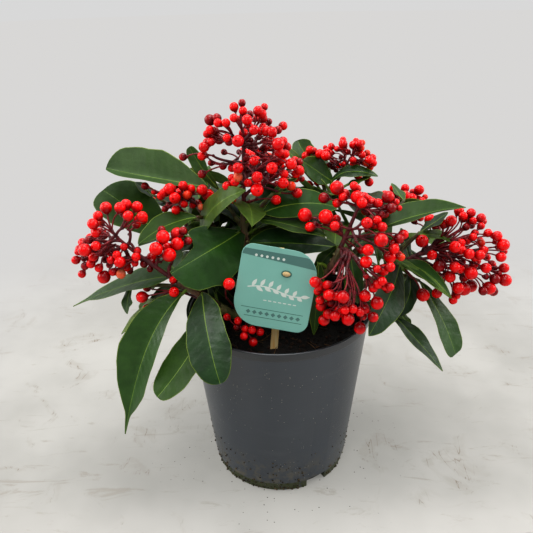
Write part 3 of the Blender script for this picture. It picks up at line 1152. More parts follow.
heroLeaves = {
    # foot, middle and tip of the rib as pixel, pixel, depth; shown: width in pixels left and right of the
    # rib, going towards the tip; width: the real one in millimetres; edges: share along the leaf and share
    # of half the width, for the left edge and the right one
    "topLeft": dict(
        foot=(208, 187, 18), mid=(152, 177, 30), tip=(106, 168, 32), shown=(9, 26), width=40,
        shade="leafSheen", blunt=0.5, bough="bough_left_upper"),
    "leftBehind": dict(
        foot=(163, 239, 2), mid=(134, 212, 20), tip=(103, 190, 34), shown=(24, 25), width=40,
        shade="leafSoft", blunt=0.42, bough="bough_left_upper"),
    "leftYoung": dict(
        foot=(197, 217, 0), mid=(167, 225, -4), tip=(138, 244, -15), shown=(9, 11), width=22,
        shade="leafSoft", blunt=0.8, grow=0.9, bough="bough_left_upper"),
    "behindCrown": dict(
        foot=(219, 190, 15), mid=(203, 170, 20), tip=(189, 147, 25), shown=(7, 7), width=14,
        shade="leafMid", blunt=0.35, bough="bough_crown"),
    "crownShade": dict(
        foot=(250, 208, 4), mid=(232, 196, 14), tip=(211, 184, 24), shown=(9, 9), width=19,
        shade="leafDeep", blunt=0.7, bough="bough_crown"),
    "crownShadeRight": dict(
        foot=(256, 207, 6), mid=(268, 196, 14), tip=(283, 182, 22), shown=(9, 9), width=19,
        shade="leafDeep", blunt=0.7, bough="bough_crown"),
    "behindFork": dict(
        foot=(252, 228, 8), mid=(231, 211, 14), tip=(207, 200, 20), shown=(8, 8), width=15,
        shade="leafDeep", blunt=0.7, bough="bough_crown"),
    "crownYoung": dict(
        foot=(199, 237, 20), mid=(213, 208, -11), tip=(246, 190, -24), shown=(10, 11), width=23,
        shade="leafLight", blunt=0.85, grow=0.5, bough="bough_crown"),
    "crownPointed": dict(
        foot=(245, 200, 2), mid=(251, 210, -16), tip=(252, 227, -32), shown=(16, 19), width=27,
        shade="leafLight", blunt=1.1, grow=0.28, bough="bough_crown"),
    "frontBroad": dict(
        foot=(243, 230, -4), mid=(214, 248, -30), tip=(171, 273, -52), shown=(33, 25), width=42,
        shade="leafShade", blunt=0.48, wave=1.6, bough="bough_crown", edges=(
           [(0, 0.1), (0.05, 0.2), (0.17, 0.44), (0.3, 0.72), (0.44, 0.96), (0.56, 1.05), (0.68, 1.07),
            (0.8, 1.0), (0.9, 0.84), (0.97, 0.56), (1, 0.16)],
           [(0, 0.1), (0.05, 0.14), (0.13, 0.32), (0.21, 0.5), (0.27, 0.68), (0.31, 0.9), (0.38, 1.02),
            (0.46, 1.1), (0.53, 1.1), (0.56, 0.92), (0.585, 0.66), (0.65, 0.4), (0.81, 0.2), (1, 0.06)])),
    "leftLong": dict(
        foot=(172, 276, -32), mid=(125, 285, -30), tip=(73, 306, -25), shown=(9, 10), width=26,
        shade="leafMid", blunt=1.0, tail=0.1, bough="bough_left"),
    "leftSmall": dict(
        foot=(131, 288, -34), mid=(127, 301, -36), tip=(127, 314, -40), shown=(5, 4), width=11,
        shade="leafMid", blunt=0.9, bough="bough_left"),
    "hangingLong": dict(
        foot=(183, 293, -40), mid=(147, 347, -52), tip=(125, 434, -68), shown=(15, 24), width=33,
        shade="leafMid", blunt=0.95, bough="bough_left", edges=(
           [(0, 0.05), (0.15, 0.32), (0.29, 0.52), (0.42, 0.8), (0.54, 0.94), (0.65, 1.0), (0.75, 0.94),
            (0.84, 0.56), (0.9, 0.18), (0.95, 0.09), (1, 0.02)],
           [(0, 0.05), (0.08, 0.3), (0.17, 0.6), (0.29, 0.84), (0.42, 0.99), (0.55, 1.04), (0.65, 0.98),
            (0.75, 0.74), (0.84, 0.4), (0.9, 0.14), (0.95, 0.08), (1, 0.02)])),
    "hangingNarrow": dict(
        foot=(166, 291, -28), mid=(143, 312, -29), tip=(121, 334, -30), shown=(4, 5), width=12,
        shade="leafYoung", blunt=0.9, bough="bough_left"),
    "hangingShort": dict(
        foot=(208, 313, -44), mid=(189, 354, -62), tip=(157, 397, -78), shown=(17, 16), width=26,
        shade="leafSoft", blunt=0.36, grow=0.55, bough="bough_left"),
    "overRim": dict(
        foot=(202, 293, -42), mid=(208, 338, -70), tip=(220, 384, -88), shown=(21, 22), width=30,
        shade="leafDeep", blunt=0.46, grow=0.62, bough="bough_left"),
    "lowSmall": dict(
        foot=(176, 285, -30), mid=(163, 292, -30), tip=(150, 298, -30), shown=(4, 5), width=10,
        shade="leafMid", blunt=0.9, bough="bough_left"),
    "underBough": dict(
        foot=(236, 307, -18), mid=(222, 295, -20), tip=(210, 283, -22), shown=(8, 8), width=17,
        shade="leafDeep", blunt=0.7, bough="bough_left"),
    "middleUpper": dict(
        foot=(262, 213, -8), mid=(300, 203, -8), tip=(338, 207, 0), shown=(14, 15), width=26,
        shade="leafShade", blunt=0.8, bough="bough_crown"),
    "middleTurned": dict(
        foot=(258, 219, -12), mid=(292, 225, -22), tip=(327, 236, -32), shown=(7, 7), width=20,
        shade="leafSoft", blunt=0.9, bough="bough_crown"),
    "behindLabel": dict(
        foot=(339, 247, -20), mid=(292, 243, -22), tip=(249, 243, -22), shown=(13, 14), width=24,
        shade="leafDeep", blunt=0.6, bough="bough_centre"),
    "besideLabel": dict(
        foot=(319, 262, -33), mid=(317, 298, -40), tip=(314, 335, -46), shown=(7, 8), width=17,
        shade="leafSoft", blunt=0.8, bough="bough_centre"),
    "middleGreen": dict(
        foot=(338, 246, -25), mid=(326, 258, -26), tip=(312, 275, -28), shown=(8, 8), width=18,
        shade="leafMid", blunt=0.8, bough="bough_centre"),
    "topRight": dict(
        foot=(368, 233, -25), mid=(421, 214, -15), tip=(466, 207, -5), shown=(14, 5), width=26,
        shade="leafSoft", blunt=0.95, bough="bough_centre"),
    "rightDark": dict(
        foot=(420, 232, 0), mid=(434, 222, 2), tip=(448, 212, 4), shown=(5, 5), width=12,
        shade="leafDeep", blunt=0.8, bough="bough_right"),
    "rightStanding": dict(
        foot=(411, 263, 6), mid=(406, 246, 8), tip=(401, 228, 12), shown=(5, 5), width=13,
        shade="leafDeep", blunt=0.7, bough="bough_right"),
    "rightGrey": dict(
        foot=(418, 234, -5), mid=(438, 235, 0), tip=(457, 240, 5), shown=(4, 5), width=12,
        shade="leafLight", blunt=0.8, bough="bough_right"),
    "rightPointed": dict(
        foot=(394, 260, -12), mid=(423, 270, -26), tip=(452, 298, -40), shown=(6, 8), width=20,
        shade="leafShade", blunt=0.95, bough="bough_right"),
    "rightFold": dict(
        foot=(393, 258, -15), mid=(418, 272, -30), tip=(451, 298, -43), shown=(4, 4), width=10,
        shade="leafLight", blunt=0.95, bough="bough_right"),
    "rightBroad": dict(
        foot=(400, 265, -8), mid=(390, 296, -36), tip=(369, 336, -58), shown=(15, 15), width=26,
        shade="leafDeep", blunt=0.75, bough="bough_right"),
    "rightBehind": dict(
        foot=(408, 272, 0), mid=(410, 293, -10), tip=(398, 317, -20), shown=(8, 8), width=17,
        shade="leafDeep", blunt=0.8, bough="bough_right"),
    "rightHanging": dict(
        foot=(420, 281, -5), mid=(440, 314, -16), tip=(456, 354, -25), shown=(10, 10), width=22,
        shade="leafMid", blunt=0.22, bough="bough_right"),
    "rightLow": dict(
        foot=(392, 314, -16), mid=(415, 337, -34), tip=(443, 371, -52), shown=(7, 7), width=19,
        shade="leafDeep", blunt=0.9, bough="bough_right"),
    "rightTiny": dict(
        foot=(398, 312, -15), mid=(405, 319, -17), tip=(411, 327, -20), shown=(4, 4), width=10,
        shade="leafLight", blunt=0.8, bough="bough_right"),
    "rearRound": dict(
        foot=(318, 170, 70), mid=(306, 155, 74), tip=(298, 140, 78), shown=(10, 11), width=19,
        shade="leafMid", blunt=0.42, bough="bough_rear_right"),
    "rearNarrow": dict(
        foot=(316, 183, 60), mid=(300, 164, 60), tip=(284, 145, 60), shown=(4, 4), width=12,
        shade="leafLight", blunt=0.8, bough="bough_rear_right"),
    "rearWide": dict(
        foot=(333, 182, 62), mid=(319, 172, 60), tip=(303, 161, 55), shown=(11, 11), width=20,
        shade="leafMid", blunt=0.6, bough="bough_rear_right"),
    "rearDark": dict(
        foot=(331, 181, 60), mid=(350, 171, 56), tip=(378, 176, 50), shown=(5, 6), width=15,
        shade="leafDeep", blunt=0.8, bough="bough_rear_right"),
    "rearPale": dict(
        foot=(346, 185, 50), mid=(358, 181, 50), tip=(371, 176, 50), shown=(2, 3), width=9,
        shade="leafLight", blunt=0.8, bough="bough_rear_right"),
    "rightUpright": dict(
        foot=(404, 200, 20), mid=(398, 192, 30), tip=(392, 183, 40), shown=(3, 4), width=10,
        shade="leafMid", blunt=0.8, bough="bough_back_right"),
    "middleRight": dict(
        foot=(352, 244, -25), mid=(372, 241, -22), tip=(394, 240, -20), shown=(9, 9), width=18,
        shade="leafMid", blunt=0.8, bough="bough_centre"),
    "middleLow": dict(
        foot=(350, 250, -18), mid=(354, 276, -22), tip=(358, 304, -26), shown=(9, 9), width=18,
        shade="leafMid", blunt=0.8, bough="bough_centre"),
    "crownGrey": dict(
        foot=(273, 193, -4), mid=(284, 186, -4), tip=(297, 178, -4), shown=(4, 4), width=9,
        shade="leafMid", blunt=0.8, bough="bough_crown"),
    "leftBit": dict(
        foot=(155, 196, 35), mid=(146, 190, 35), tip=(135, 182, 35), shown=(5, 5), width=12,
        shade="leafDeep", blunt=0.8, bough="bough_left_upper"),
    "leftDark": dict(
        foot=(198, 205, 25), mid=(175, 203, 32), tip=(151, 200, 40), shown=(6, 6), width=15,
        shade="leafDeep", blunt=0.8, bough="bough_left_upper"),
}


def poseBlade(foot, tip, mid, shown, width):
    # the face and fold of a leaf that shows these widths left and right of its rib
    ahead = unit(tip - foot)
    toEye = unit(viewPlace - mid)
    facing = unit(toEye - ahead * (toEye @ ahead))
    rightHand = np.cross(ahead, facing)
    trunkTop = bark["trunk"][-1]
    outward = unit((mid[0] - trunkTop[0], mid[1] - trunkTop[1], 0))
    upright = abs(ahead[2])
    wanted = worldUp * (1 - upright) + outward * upright
    wanted = unit(wanted - ahead * (wanted @ ahead))
    scale = np.linalg.norm(mid - viewPlace) / camera["focal"]
    half = width / 2
    left, right = (math.acos(min(1, pixels * scale / half)) for pixels in shown)
    side = 1 if rightHand @ wanted > 0 else -1
    high, low = (right, left) if side > 0 else (left, right)
    roll, fold = (high + low) / 2, (low - high) / 2
    face = facing * math.cos(roll) + unit(wanted - facing * (wanted @ facing)) * math.sin(roll)
    least, most = leafShape["folds"]
    return face, max(least, min(most, math.degrees(fold) + leafShape["foldMore"]))


def joinPoint(path, foot, reach):
    # where a leaf's stalk leaves its shoot: near the shoot's end, or nearer the leaf
    tail = path[-26:]
    at = nearestOn(tail, foot)
    back = max(0, at - int(reach * 0.3))
    return tail[back]


def addPetiole(leaves, twigs, path, foot, ahead):
    gap = np.linalg.norm(path - foot, axis=1).min()
    start = joinPoint(path, foot, gap)
    span = np.linalg.norm(foot - start)
    middle = (start + foot) / 2 - unit(ahead) * span * 0.10 + vector((0, 0.06, -0.05)) * span
    if span > leafShape["longFrom"]:
        path = bend(start, middle, foot, 12)
        twigs.tube(path, np.linspace(*leafShape["longStalk"], len(path)), 8, "twigBark")
    else:
        path = bend(start, middle, foot + unit(ahead) * 1.5, 8)
        leaves.tube(path, np.linspace(*leafShape["stalk"], len(path)), 8, "leafRib")


rule = {
    # leaves set by rule round each shoot: their count, whether they keep to its far side, and the share of
    # the bough, from its tip, over which they stand
    "bough_crown": dict(count=34, back=True, reach=0.62),
    "bough_left_upper": dict(count=26, back=True, reach=0.55),
    "bough_left": dict(count=22, back=True, reach=0.45),
    "bough_centre": dict(count=24, back=True, reach=0.60),
    "bough_right": dict(count=26, back=True, reach=0.50),
    "bough_rear_right": dict(count=24, back=False, reach=0.40),
    "bough_back_right": dict(count=28, back=False, reach=0.40),
    "bough_rear": dict(count=30, back=False, reach=0.45),
    "bough_rear_left": dict(count=28, back=False, reach=0.40),
}
ruleShape = {
    "length": (48, 82), "width": (19, 29),
    "slope": 112, "slopeFall": 62,    # degrees between a leaf and its shoot, and their loss towards the tip
    "footFrom": (7, 10),              # from the middle of the shoot to the leaf's foot
    "droop": (0.10, 0.32),
    "lowest": 74, "tries": 9, "shorter": 0.92,    # a tip that comes too low or too far out is drawn in
    "room": 1.5,                      # between a leaf and the pot
    "tested": (0.12, 0.3, 0.5, 0.7, 0.88, 0.98),
}


def surfaces(pieces):
    # one searchable surface of several gatherings, in millimetres
    points, faces, base = [], [], 0
    for piece in pieces:
        if not piece.points:
            continue
        points.extend(np.concatenate(piece.points).tolist())
        faces.extend([tuple(corner + base for corner in face) for face in piece.faces])
        base = len(points)
    return BVHTree.FromPolygons(points, faces)


def crownOutline():
    # the solids of leaves, berries and pot, to test what shows against them
    parts = []
    for name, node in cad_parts.items():
        if name.startswith(("lea", "berr", "pot")):
            data = node.data
            points = [vertex.co for vertex in data.vertices]
            parts.append(BVHTree.FromPolygons(points, [face.vertices[:] for face in data.polygons]))
    return parts


outline = crownOutline()


def behindOutline(point):
    line = Vector(unit(point - viewPlace))
    start = Vector(viewPlace * metre)
    return any(tree.ray_cast(start, line)[0] is not None for tree in outline)


def coverOf(point, shownLeaves):
    # 1 where a point would hide a leaf or berry of the picture, 0 where it stands free, -1 where it is
    # hidden itself
    line = Vector(unit(point - viewPlace))
    far = float(np.linalg.norm(point - viewPlace))
    if shownLeaves.ray_cast(Vector(viewPlace), line, far - 1)[0] is not None:
        return -1
    return 1 if shownLeaves.ray_cast(Vector(point) + line, line, 200)[0] is not None else 0


def ruleLeaves(name, draw):
    # yields foot, middle, tip, face, width of leaves round the end of a shoot
    path = boughPaths[name]
    spec = rule[name]
    ahead = unit(path[-1] - path[-5])
    low, high = vector(cadLow) / metre - 6, vector(cadHigh) / metre + 6
    for number in range(spec["count"]):
        share = (number + 0.5) / spec["count"]
        turn = number * goldenTurn + draw.uniform(-0.25, 0.25)
        slope = math.radians(ruleShape["slope"] - ruleShape["slopeFall"] * share + draw.uniform(-9, 9))
        at = len(path) - 2 - int((1 - share) * spec["reach"] * (len(path) - 12))
        sides, normals = framesAlong(path[at - 1:at + 1])
        across = sides[0] * math.cos(turn) + normals[0] * math.sin(turn)
        out = ahead * math.cos(slope) + across * math.sin(slope)
        length = draw.uniform(*ruleShape["length"]) * (1.0 - 0.22 * share)
        width = draw.uniform(*ruleShape["width"]) * (0.8 + 0.2 * length / ruleShape["length"][1])
        if spec["back"] and out[1] < 0.05:
            continue
        foot = path[at] + out * draw.uniform(*ruleShape["footFrom"])
        droop = (1 - abs(out[2])) * draw.uniform(*ruleShape["droop"])
        for attempt in range(ruleShape["tries"]):
            tip = foot + out * length - worldUp * length * droop
            if (tip > low).all() and (tip < high).all() and tip[2] > ruleShape["lowest"]:
                break
            length *= ruleShape["shorter"]
        mid = (foot + tip) / 2 + worldUp * length * (0.05 + droop * 0.42)
        face = worldUp * 0.7 + ahead * 0.5 + vector([draw.uniform(-0.25, 0.25) for _ in range(3)])
        yield foot, mid, tip, face, width


def leafFits(foot, mid, tip, face, width, shownLeaves):
    # False where a leaf would cover a gap or a thing the picture shows, stand outside the plant's outline,
    # or pass through the pot
    ahead = unit(tip - foot)
    side = unit(np.cross(face, ahead)) * width / 2
    control = 2 * mid - (foot + tip) / 2
    outside = covers = 0
    room = ruleShape["room"]
    for s in ruleShape["tested"]:
        middle = arc(s, foot, control, tip)
        for across in (-0.8, 0, 0.8) if s < 0.9 else (0,):
            point = middle + side * across * float(bladeWidth(np.array([s]), 0.7, 0, leafShape["grow"])[0])
            if point[2] < pot["height"] + room and math.hypot(*point[:2]) < pot["rimRadius"] + room:
                return False
            cover = coverOf(point, shownLeaves)
            if cover < 0:
                continue
            u, v = pixelOf(point)
            if inGap(u, v) or any(math.hypot((u - a) / c, (v - b) / d) < 1 for a, b, c, d in leafless):
                return False
            covers += cover
            if not behindOutline(point):
                outside += 1
    return outside < 1 and covers < 2


leafPieces = {
    # the boughs that a piece grows on, and the nodes whose place it takes
    "leaves_left_side": (["bough_left", "bough_left_upper"],
                         ["leaves_left", "leaves_left_upper", "leaf_hanging_left", "leaf_hanging_front",
                          "leaf_over_rim"]),
    "leaves_middle": (["bough_crown", "bough_centre"],
                      ["leaves_crown", "leaves_centre", "leaf_right_top", "leaf_hanging_centre"]),
    "leaves_right_side": (["bough_right", "bough_back_right", "bough_rear_right"],
                          ["leaves_right", "leaves_back_right", "leaves_rear_right", "leaf_hanging_right",
                           "leaf_hanging_right_low"]),
    "leaves_back": (["bough_rear", "bough_rear_left"], ["leaves_rear", "leaves_rear_left"]),
}
ruleShades = {"leafDeep": 0.46, "leafMid": 0.42, "leafLight": 0.08, "leafYoung": 0.04}


def makeLeaves():
    draw = random.Random(37)
    twigs = Gather("twigs", {"twigBark": twigFinish()})
    gathers = {piece: Gather(piece, leafFinishes) for piece in leafPieces}
    number = 0
    for piece, (names, nodes) in leafPieces.items():
        gather = gathers[piece]
        for spec in heroLeaves.values():
            if spec["bough"] not in names:
                continue
            number += 1
            foot, mid, tip = (seen(*spec[end]) for end in ("foot", "mid", "tip"))
            face, fold = poseBlade(foot, tip, mid, spec["shown"], spec["width"])
            extras = {key: spec[key] for key in ("tail", "grow", "edges") if key in spec}
            addLeaf(gather, foot, mid, tip, face, spec["width"], spec["shade"], number, spec["blunt"], fold,
                    spec.get("wave", leafShape["wave"]), **extras)
            addPetiole(gather, twigs, boughPaths[spec["bough"]], foot, mid - foot)
    shownLeaves = surfaces(list(gathers.values()) + shownBerries)
    for piece, (names, nodes) in leafPieces.items():
        gather = gathers[piece]
        for name in names:
            for foot, mid, tip, face, width in ruleLeaves(name, draw):
                shade = draw.choices(list(ruleShades), tuple(ruleShades.values()))[0]
                blunt = draw.uniform(0.5, 0.95)
                fold, wave, twist = draw.uniform(4, 16), draw.uniform(0.5, 1.8), draw.uniform(-25, 25)
                if not leafFits(foot, mid, tip, face, width, shownLeaves):
                    continue
                number += 1
                addLeaf(gather, foot, mid, tip, face, width, shade, number, blunt, fold, wave, twist)
                addPetiole(gather, twigs, boughPaths[name], foot, mid - foot)
        place(gather.make(), "leaves", *nodes)
        print(piece, "made, leaves so far:", number)
    place(twigs.make(), "bark")
    print("leaves made:", number)


makeLeaves()


# Pot

def turned(name, profile, steps, finish):
    # a closed profile of radius and height, outer side running down, turned about the pot's axis
    mesh = bmesh.new()
    corners = [mesh.verts.new((radius * metre, 0, height * metre)) for radius, height in profile]
    edges = [mesh.edges.new((corners[i], corners[(i + 1) % len(corners)])) for i in range(len(corners))]
    bmesh.ops.spin(mesh, geom=corners + edges, cent=(0, 0, 0), axis=(0, 0, 1), angle=2 * math.pi, steps=steps,
                   use_merge=True, use_duplicate=False)
    bmesh.ops.remove_doubles(mesh, verts=mesh.verts, dist=1e-6)
    bmesh.ops.recalc_face_normals(mesh, faces=mesh.faces)
    data = bpy.data.meshes.new(name)
    mesh.to_mesh(data)
    mesh.free()
    data.materials.append(finish)
    data.shade_smooth()
    return addItem(name, data)


def roundedProfile(points, radius, steps=3):
    # the same outline with small round corners
    made = []
    for i, point in enumerate(points):
        before, after = vector(points[i - 1]), vector(points[(i + 1) % len(points)])
        here = vector(point)
        if point[0] < 1e-6:
            made.append(tuple(here))
            continue
        cut = min(radius, np.linalg.norm(before - here) * 0.4, np.linalg.norm(after - here) * 0.4)
        start, end = here + unit(before - here) * cut, here + unit(after - here) * cut
        for t in np.linspace(0, 1, steps + 1):
            made.append(tuple(arc(t, start, here, end)))
    return made


def cutWith(item, cutter):
    cut = item.modifiers.new("cut", "BOOLEAN")
    cut.object = cutter
    cut.operation = "DIFFERENCE"
    cut.solver = "EXACT"
    graph = bpy.context.evaluated_depsgraph_get()
    made = bpy.data.meshes.new_from_object(item.evaluated_get(graph))
    item.modifiers.clear()
    item.data = made
    bpy.data.objects.remove(cutter)


def makePot():
    rim, top = pot["rimRadius"], pot["height"]
    foot, wall = pot["footRadius"], pot["wall"]
    under = rim - pot["rimStep"]
    low = foot + pot["footStep"]
    profile = [
        (rim, top), (rim - 0.4, top - pot["rimDepth"]), (under, top - pot["rimDepth"] - 0.4),
        (low, pot["footHeight"]), (foot + 0.2, pot["footHeight"] - 0.8), (foot, 0), (20, 0), (8, 0), (0, 0),
        (0, wall), (8, wall), (foot - wall - 0.6, wall), (low - wall, pot["footHeight"] + 2),
        (under - wall, top - pot["rimDepth"] - 2), (rim - 2.6, top - 1.0), (rim - 1.6, top),
    ]
    item = turned("pot_shell", roundedProfile(profile, pot["corner"]), pot["steps"], potFinish())
    mesh = bmesh.new()
    for turn in pot["notchTurns"]:
        box = Matrix.Rotation(math.radians(turn), 4, "Z") @ Matrix.Translation(
            Vector((foot, 0, pot["notchHeight"] / 2 - 1)) * metre)
        size = Matrix.Diagonal((pot["notchDeep"] * metre, pot["notchWidth"] * metre,
                                (pot["notchHeight"] + 2) * metre, 1))
        made = bmesh.ops.create_cube(mesh, size=1, matrix=box @ size)
        tops = [e for v in made["verts"] for e in v.link_edges
                if all(end.co.z > pot["notchHeight"] * metre * 0.8 for end in e.verts)]
        bmesh.ops.bevel(mesh, geom=list(set(tops)), offset=pot["notchRound"] * metre, segments=4,
                        affect="EDGES", profile=0.5)
    for number in range(pot["holes"]):
        turn = math.radians(number * 360 / pot["holes"] + pot["holeFrom"])
        spot = Matrix.Translation(Vector((math.cos(turn), math.sin(turn), 0)) * pot["holeRing"] * metre)
        bmesh.ops.create_cone(mesh, cap_ends=True, segments=20, radius1=pot["holeRadius"] * metre,
                              radius2=pot["holeRadius"] * metre, depth=pot["holeDeep"] * metre, matrix=spot)
    data = bpy.data.meshes.new("cutter")
    mesh.to_mesh(data)
    mesh.free()
    cutWith(item, addItem("cutter", data))
    item.data.set_sharp_from_angle(angle=math.radians(pot["sharpFrom"]))
    place(item, "pot", "pot")


potSoil = {"count": 420, "size": (0.35, 1.15), "high": 34,
           "levels": ((-0.7, 0.5), (-0.2, 0.95), (0.3, 0.8), (0.7, 0.35))}


def crumbRings(centre, size, levels, widths, heights, draw):
    # an uneven crumb: its levels as rise and width, and the ranges that widths and heights are drawn from
    rings = []
    for rise, wide in levels:
        rings.append([centre + size * vector((wide * math.cos(turn) * draw.uniform(*widths),
                                              wide * math.sin(turn) * draw.uniform(*widths),
                                              rise * draw.uniform(*heights)))
                      for turn in around(6)])
    return rings


def makePotSoil():
    # crumbs of peat that stick to the pot near its foot, more of them on its left
    draw = random.Random(77)
    gather = Gather("pot_soil", {"soil": compostFinish("soilCrumb", (44, 36, 24), (112, 98, 72)),
                                 "moss": compostFinish("mossCrumb", (50, 56, 26), (98, 102, 54))})
    base = pot["footRadius"] + pot["footStep"]
    rise = pot["height"] - pot["rimDepth"] - pot["footHeight"]
    slope = (pot["rimRadius"] - pot["rimStep"] - base) / rise
    for number in range(potSoil["count"]):
        height = 0.8 + potSoil["high"] * draw.random() ** 3.0
        turn = math.radians(draw.gauss(215, 70) if draw.random() < 0.6 else draw.uniform(0, 360))
        above = height > pot["footHeight"]
        radius = base + slope * (height - pot["footHeight"]) if above else pot["footRadius"] + 0.1
        size = draw.uniform(*potSoil["size"]) * (1.0 - 0.35 * height / potSoil["high"])
        notched = any(abs((math.degrees(turn) - at + 180) % 360 - 180) < 11 for at in pot["notchTurns"])
        if notched and height < pot["notchHeight"] + 1.5:
            continue
        centre = vector((radius * math.cos(turn), radius * math.sin(turn), height))
        rings = crumbRings(centre, size, potSoil["levels"], (0.7, 1.25), (0.7, 1.0), draw)
        gather.loft(rings, "moss" if height < 6 and draw.random() < 0.5 else "soil")
    place(gather.make(), "compost")


makePot()
makePotSoil()
print("pot made")


# Compost

compost = {
    "height": 114, "hump": 2.4, "rings": 26, "sides": 96, "crumbs": 620, "fibres": 110,
    "levels": ((-0.8, 0.45), (-0.3, 0.95), (0.3, 0.85), (0.75, 0.40)),
    "fibreRadii": [0.12, 0.22, 0.26, 0.28, 0.26, 0.2, 0.1],
}


def insideRadius(height):
    # the pot's inner radius at a height
    top = pot["rimRadius"] - pot["rimStep"] - pot["wall"]
    low = pot["footRadius"] + pot["footStep"] - pot["wall"]
    rise = pot["height"] - pot["rimDepth"] - pot["footHeight"]
    return low + (top - low) * (height - pot["footHeight"]) / rise


def compostHeight(x, y):
    reach = insideRadius(compost["height"]) - 0.4
    share = min(1, math.hypot(x, y) / reach)
    lumps = noise.fractal(Vector((x, y, 3)) / 9, 0.7, 2.1, 4)
    return compost["height"] + compost["hump"] * (1 - share ** 2) - 0.8 * share ** 4 + 1.0 * lumps


def makeCompost():
    draw = random.Random(51)
    finishes = {"peat": compostFinish("peat", (14, 11, 9), (38, 29, 22)),
                "crumb": compostFinish("peatCrumb", (24, 17, 12), (76, 52, 35)),
                "fibre": compostFinish("peatFibre", (84, 58, 34), (134, 100, 62)),
                "grit": compostFinish("peatGrit", (150, 144, 132), (196, 190, 178))}
    gather = Gather("compost_fill", finishes)
    turns = around(compost["sides"])
    reach = insideRadius(compost["height"]) - 0.4
    rings = []
    narrow = pot["footRadius"] - pot["wall"] - 0.9
    for height, wide in ((2.2, min(insideRadius(2.2), narrow) - 0.4),
                         (7.0, min(insideRadius(7.0), narrow) - 0.4), (12, insideRadius(12) - 0.5)):
        rings.append([(wide * math.cos(t), wide * math.sin(t), height) for t in turns])
    for share in np.linspace(1, 0.02, compost["rings"]):
        ring = []
        for t in turns:
            x, y = reach * share * math.cos(t), reach * share * math.sin(t)
            ring.append((x, y, compostHeight(x, y)))
        rings.append(ring)
    gather.loft(rings, "peat")
    for number in range(compost["crumbs"]):
        far, t = reach * math.sqrt(draw.random()) * 0.98, draw.random() * 2 * math.pi
        size = draw.uniform(0.5, 1.9)
        kind = "grit" if draw.random() < 0.006 else "crumb" if draw.random() < 0.8 else "peat"
        x, y = far * math.cos(t), far * math.sin(t)
        centre = vector((x, y, compostHeight(x, y) + size * 0.25))
        gather.loft(crumbRings(centre, size, compost["levels"], (0.75, 1.2), (0.8, 1.0), draw), kind)
    for number in range(compost["fibres"]):
        far, t = reach * math.sqrt(draw.random()) * 0.93, draw.random() * 2 * math.pi
        x, y = far * math.cos(t), far * math.sin(t)
        heading = draw.random() * 2 * math.pi
        length = draw.uniform(3, 11)
        points = []
        for step in (-0.5, 0, 0.5):
            a, b = x + math.cos(heading) * step * length, y + math.sin(heading) * step * length
            if math.hypot(a, b) > reach:
                break
            points.append(vector((a, b, compostHeight(a, b) + draw.uniform(0.2, 1.4))))
        if len(points) == 3:
            radii = compost["fibreRadii"]
            gather.tube(bend(*points, len(radii)), radii, 5, "fibre")
    place(gather.make(), "compost", "compost")


makeCompost()
print("compost made")


# Label

label = {
    "width": 48, "height": 51, "thick": 0.7, "centre": (-2, -46, 163), "lean": 14, "turn": 11,
    "smallCorner": 7, "largeCorner": 16, "print": 0.04,
    "slot": (5.2, 10.2), "slotSize": (3.4, 2.3), "pegSize": (2.5, 1.5),
}
labelPrint = {
    # places on the card are across and up from its middle
    "bandLow": 15.2, "bandHigh": 22.2, "dots": 6, "dotFrom": (-15, 18.8), "dotStep": 3.4, "dotRadius": 0.85,
    "stemFrom": (-17, -1.5), "stemStep": 2.6, "stemSway": 1.6, "stemWidth": 0.75, "stemPoints": 14,
    "petalWidth": 2.3, "petalLength": 5.6, "endPetal": 6.0,
    "dashes": 7, "dash": (-6, -4), "dashStep": 3.1, "dashHeight": -8.4, "dashWidth": 0.6,
    "lines": (-14.2, -19.6), "lineWidth": 0.4, "diamonds": 9, "diamondFrom": -14, "diamondStep": 3.9,
}
stick = {"foot": (-7, -40, 72), "top": (2.3, -38.3, 186.6), "width": 4.9, "thick": 1.8}


def labelPlace():
    # from the card's own plane, x across and z up, to its place; the same turns as the solid's
    turn = Matrix.Rotation(math.radians(label["turn"]), 4, "Y")
    lean = Matrix.Rotation(math.radians(-label["lean"]), 4, "X")
    return Matrix.Translation(Vector(label["centre"])) @ lean @ turn


def cardOutline(inset=0.0):
    # two corners of the card are small arcs, two are large ones
    wide, high = label["width"] / 2 - inset, label["height"] / 2 - inset
    small, large = label["smallCorner"] - inset, label["largeCorner"] - inset
    corners = [(wide, high, large, 0), (-wide, high, small, 90), (-wide, -high, large, 180),
               (wide, -high, small, 270)]
    points = []
    for x, z, radius, start in corners:
        cx, cz = x - math.copysign(radius, x), z - math.copysign(radius, z)
        for step in np.linspace(0, 90, 13):
            a = math.radians(start + step)
            points.append((cx + radius * math.cos(a), cz + radius * math.sin(a)))
    return points


def slab(gather, outlinePoints, front, back, kind):
    # a flat closed form between two depths; the outline runs anticlockwise as seen from the front
    rings = [[(x, depth, z) for x, z in outlinePoints] for depth in (back, front)]
    gather.loft(rings, kind)


def strip(points, width):
    # an outline round a line of points
    points = vector(points)
    ahead = np.gradient(points, axis=0)
    ahead /= np.linalg.norm(ahead, axis=1)[:, None]
    across = np.column_stack([ahead[:, 1], -ahead[:, 0]]) * width / 2
    return [tuple(p) for p in np.vstack([points + across, (points - across)[::-1]])]


def disc(x, z, radius, count=24):
    return [(x + radius * math.cos(turn), z + radius * math.sin(turn)) for turn in around(count)]


def petalOutline(x, z, turn, length, width):
    share = np.linspace(0, 1, 9)
    half = width / 2 * np.sin(math.pi * share ** 0.85)
    a = math.radians(turn)
    points = [(length * s, -h) for s, h in zip(share, half)] + [(length * s, h) for s, h in
                                                               reversed(list(zip(share, half))[1:-1])]
    return [(x + p * math.cos(a) - q * math.sin(a), z + p * math.sin(a) + q * math.cos(a)) for p, q in points]


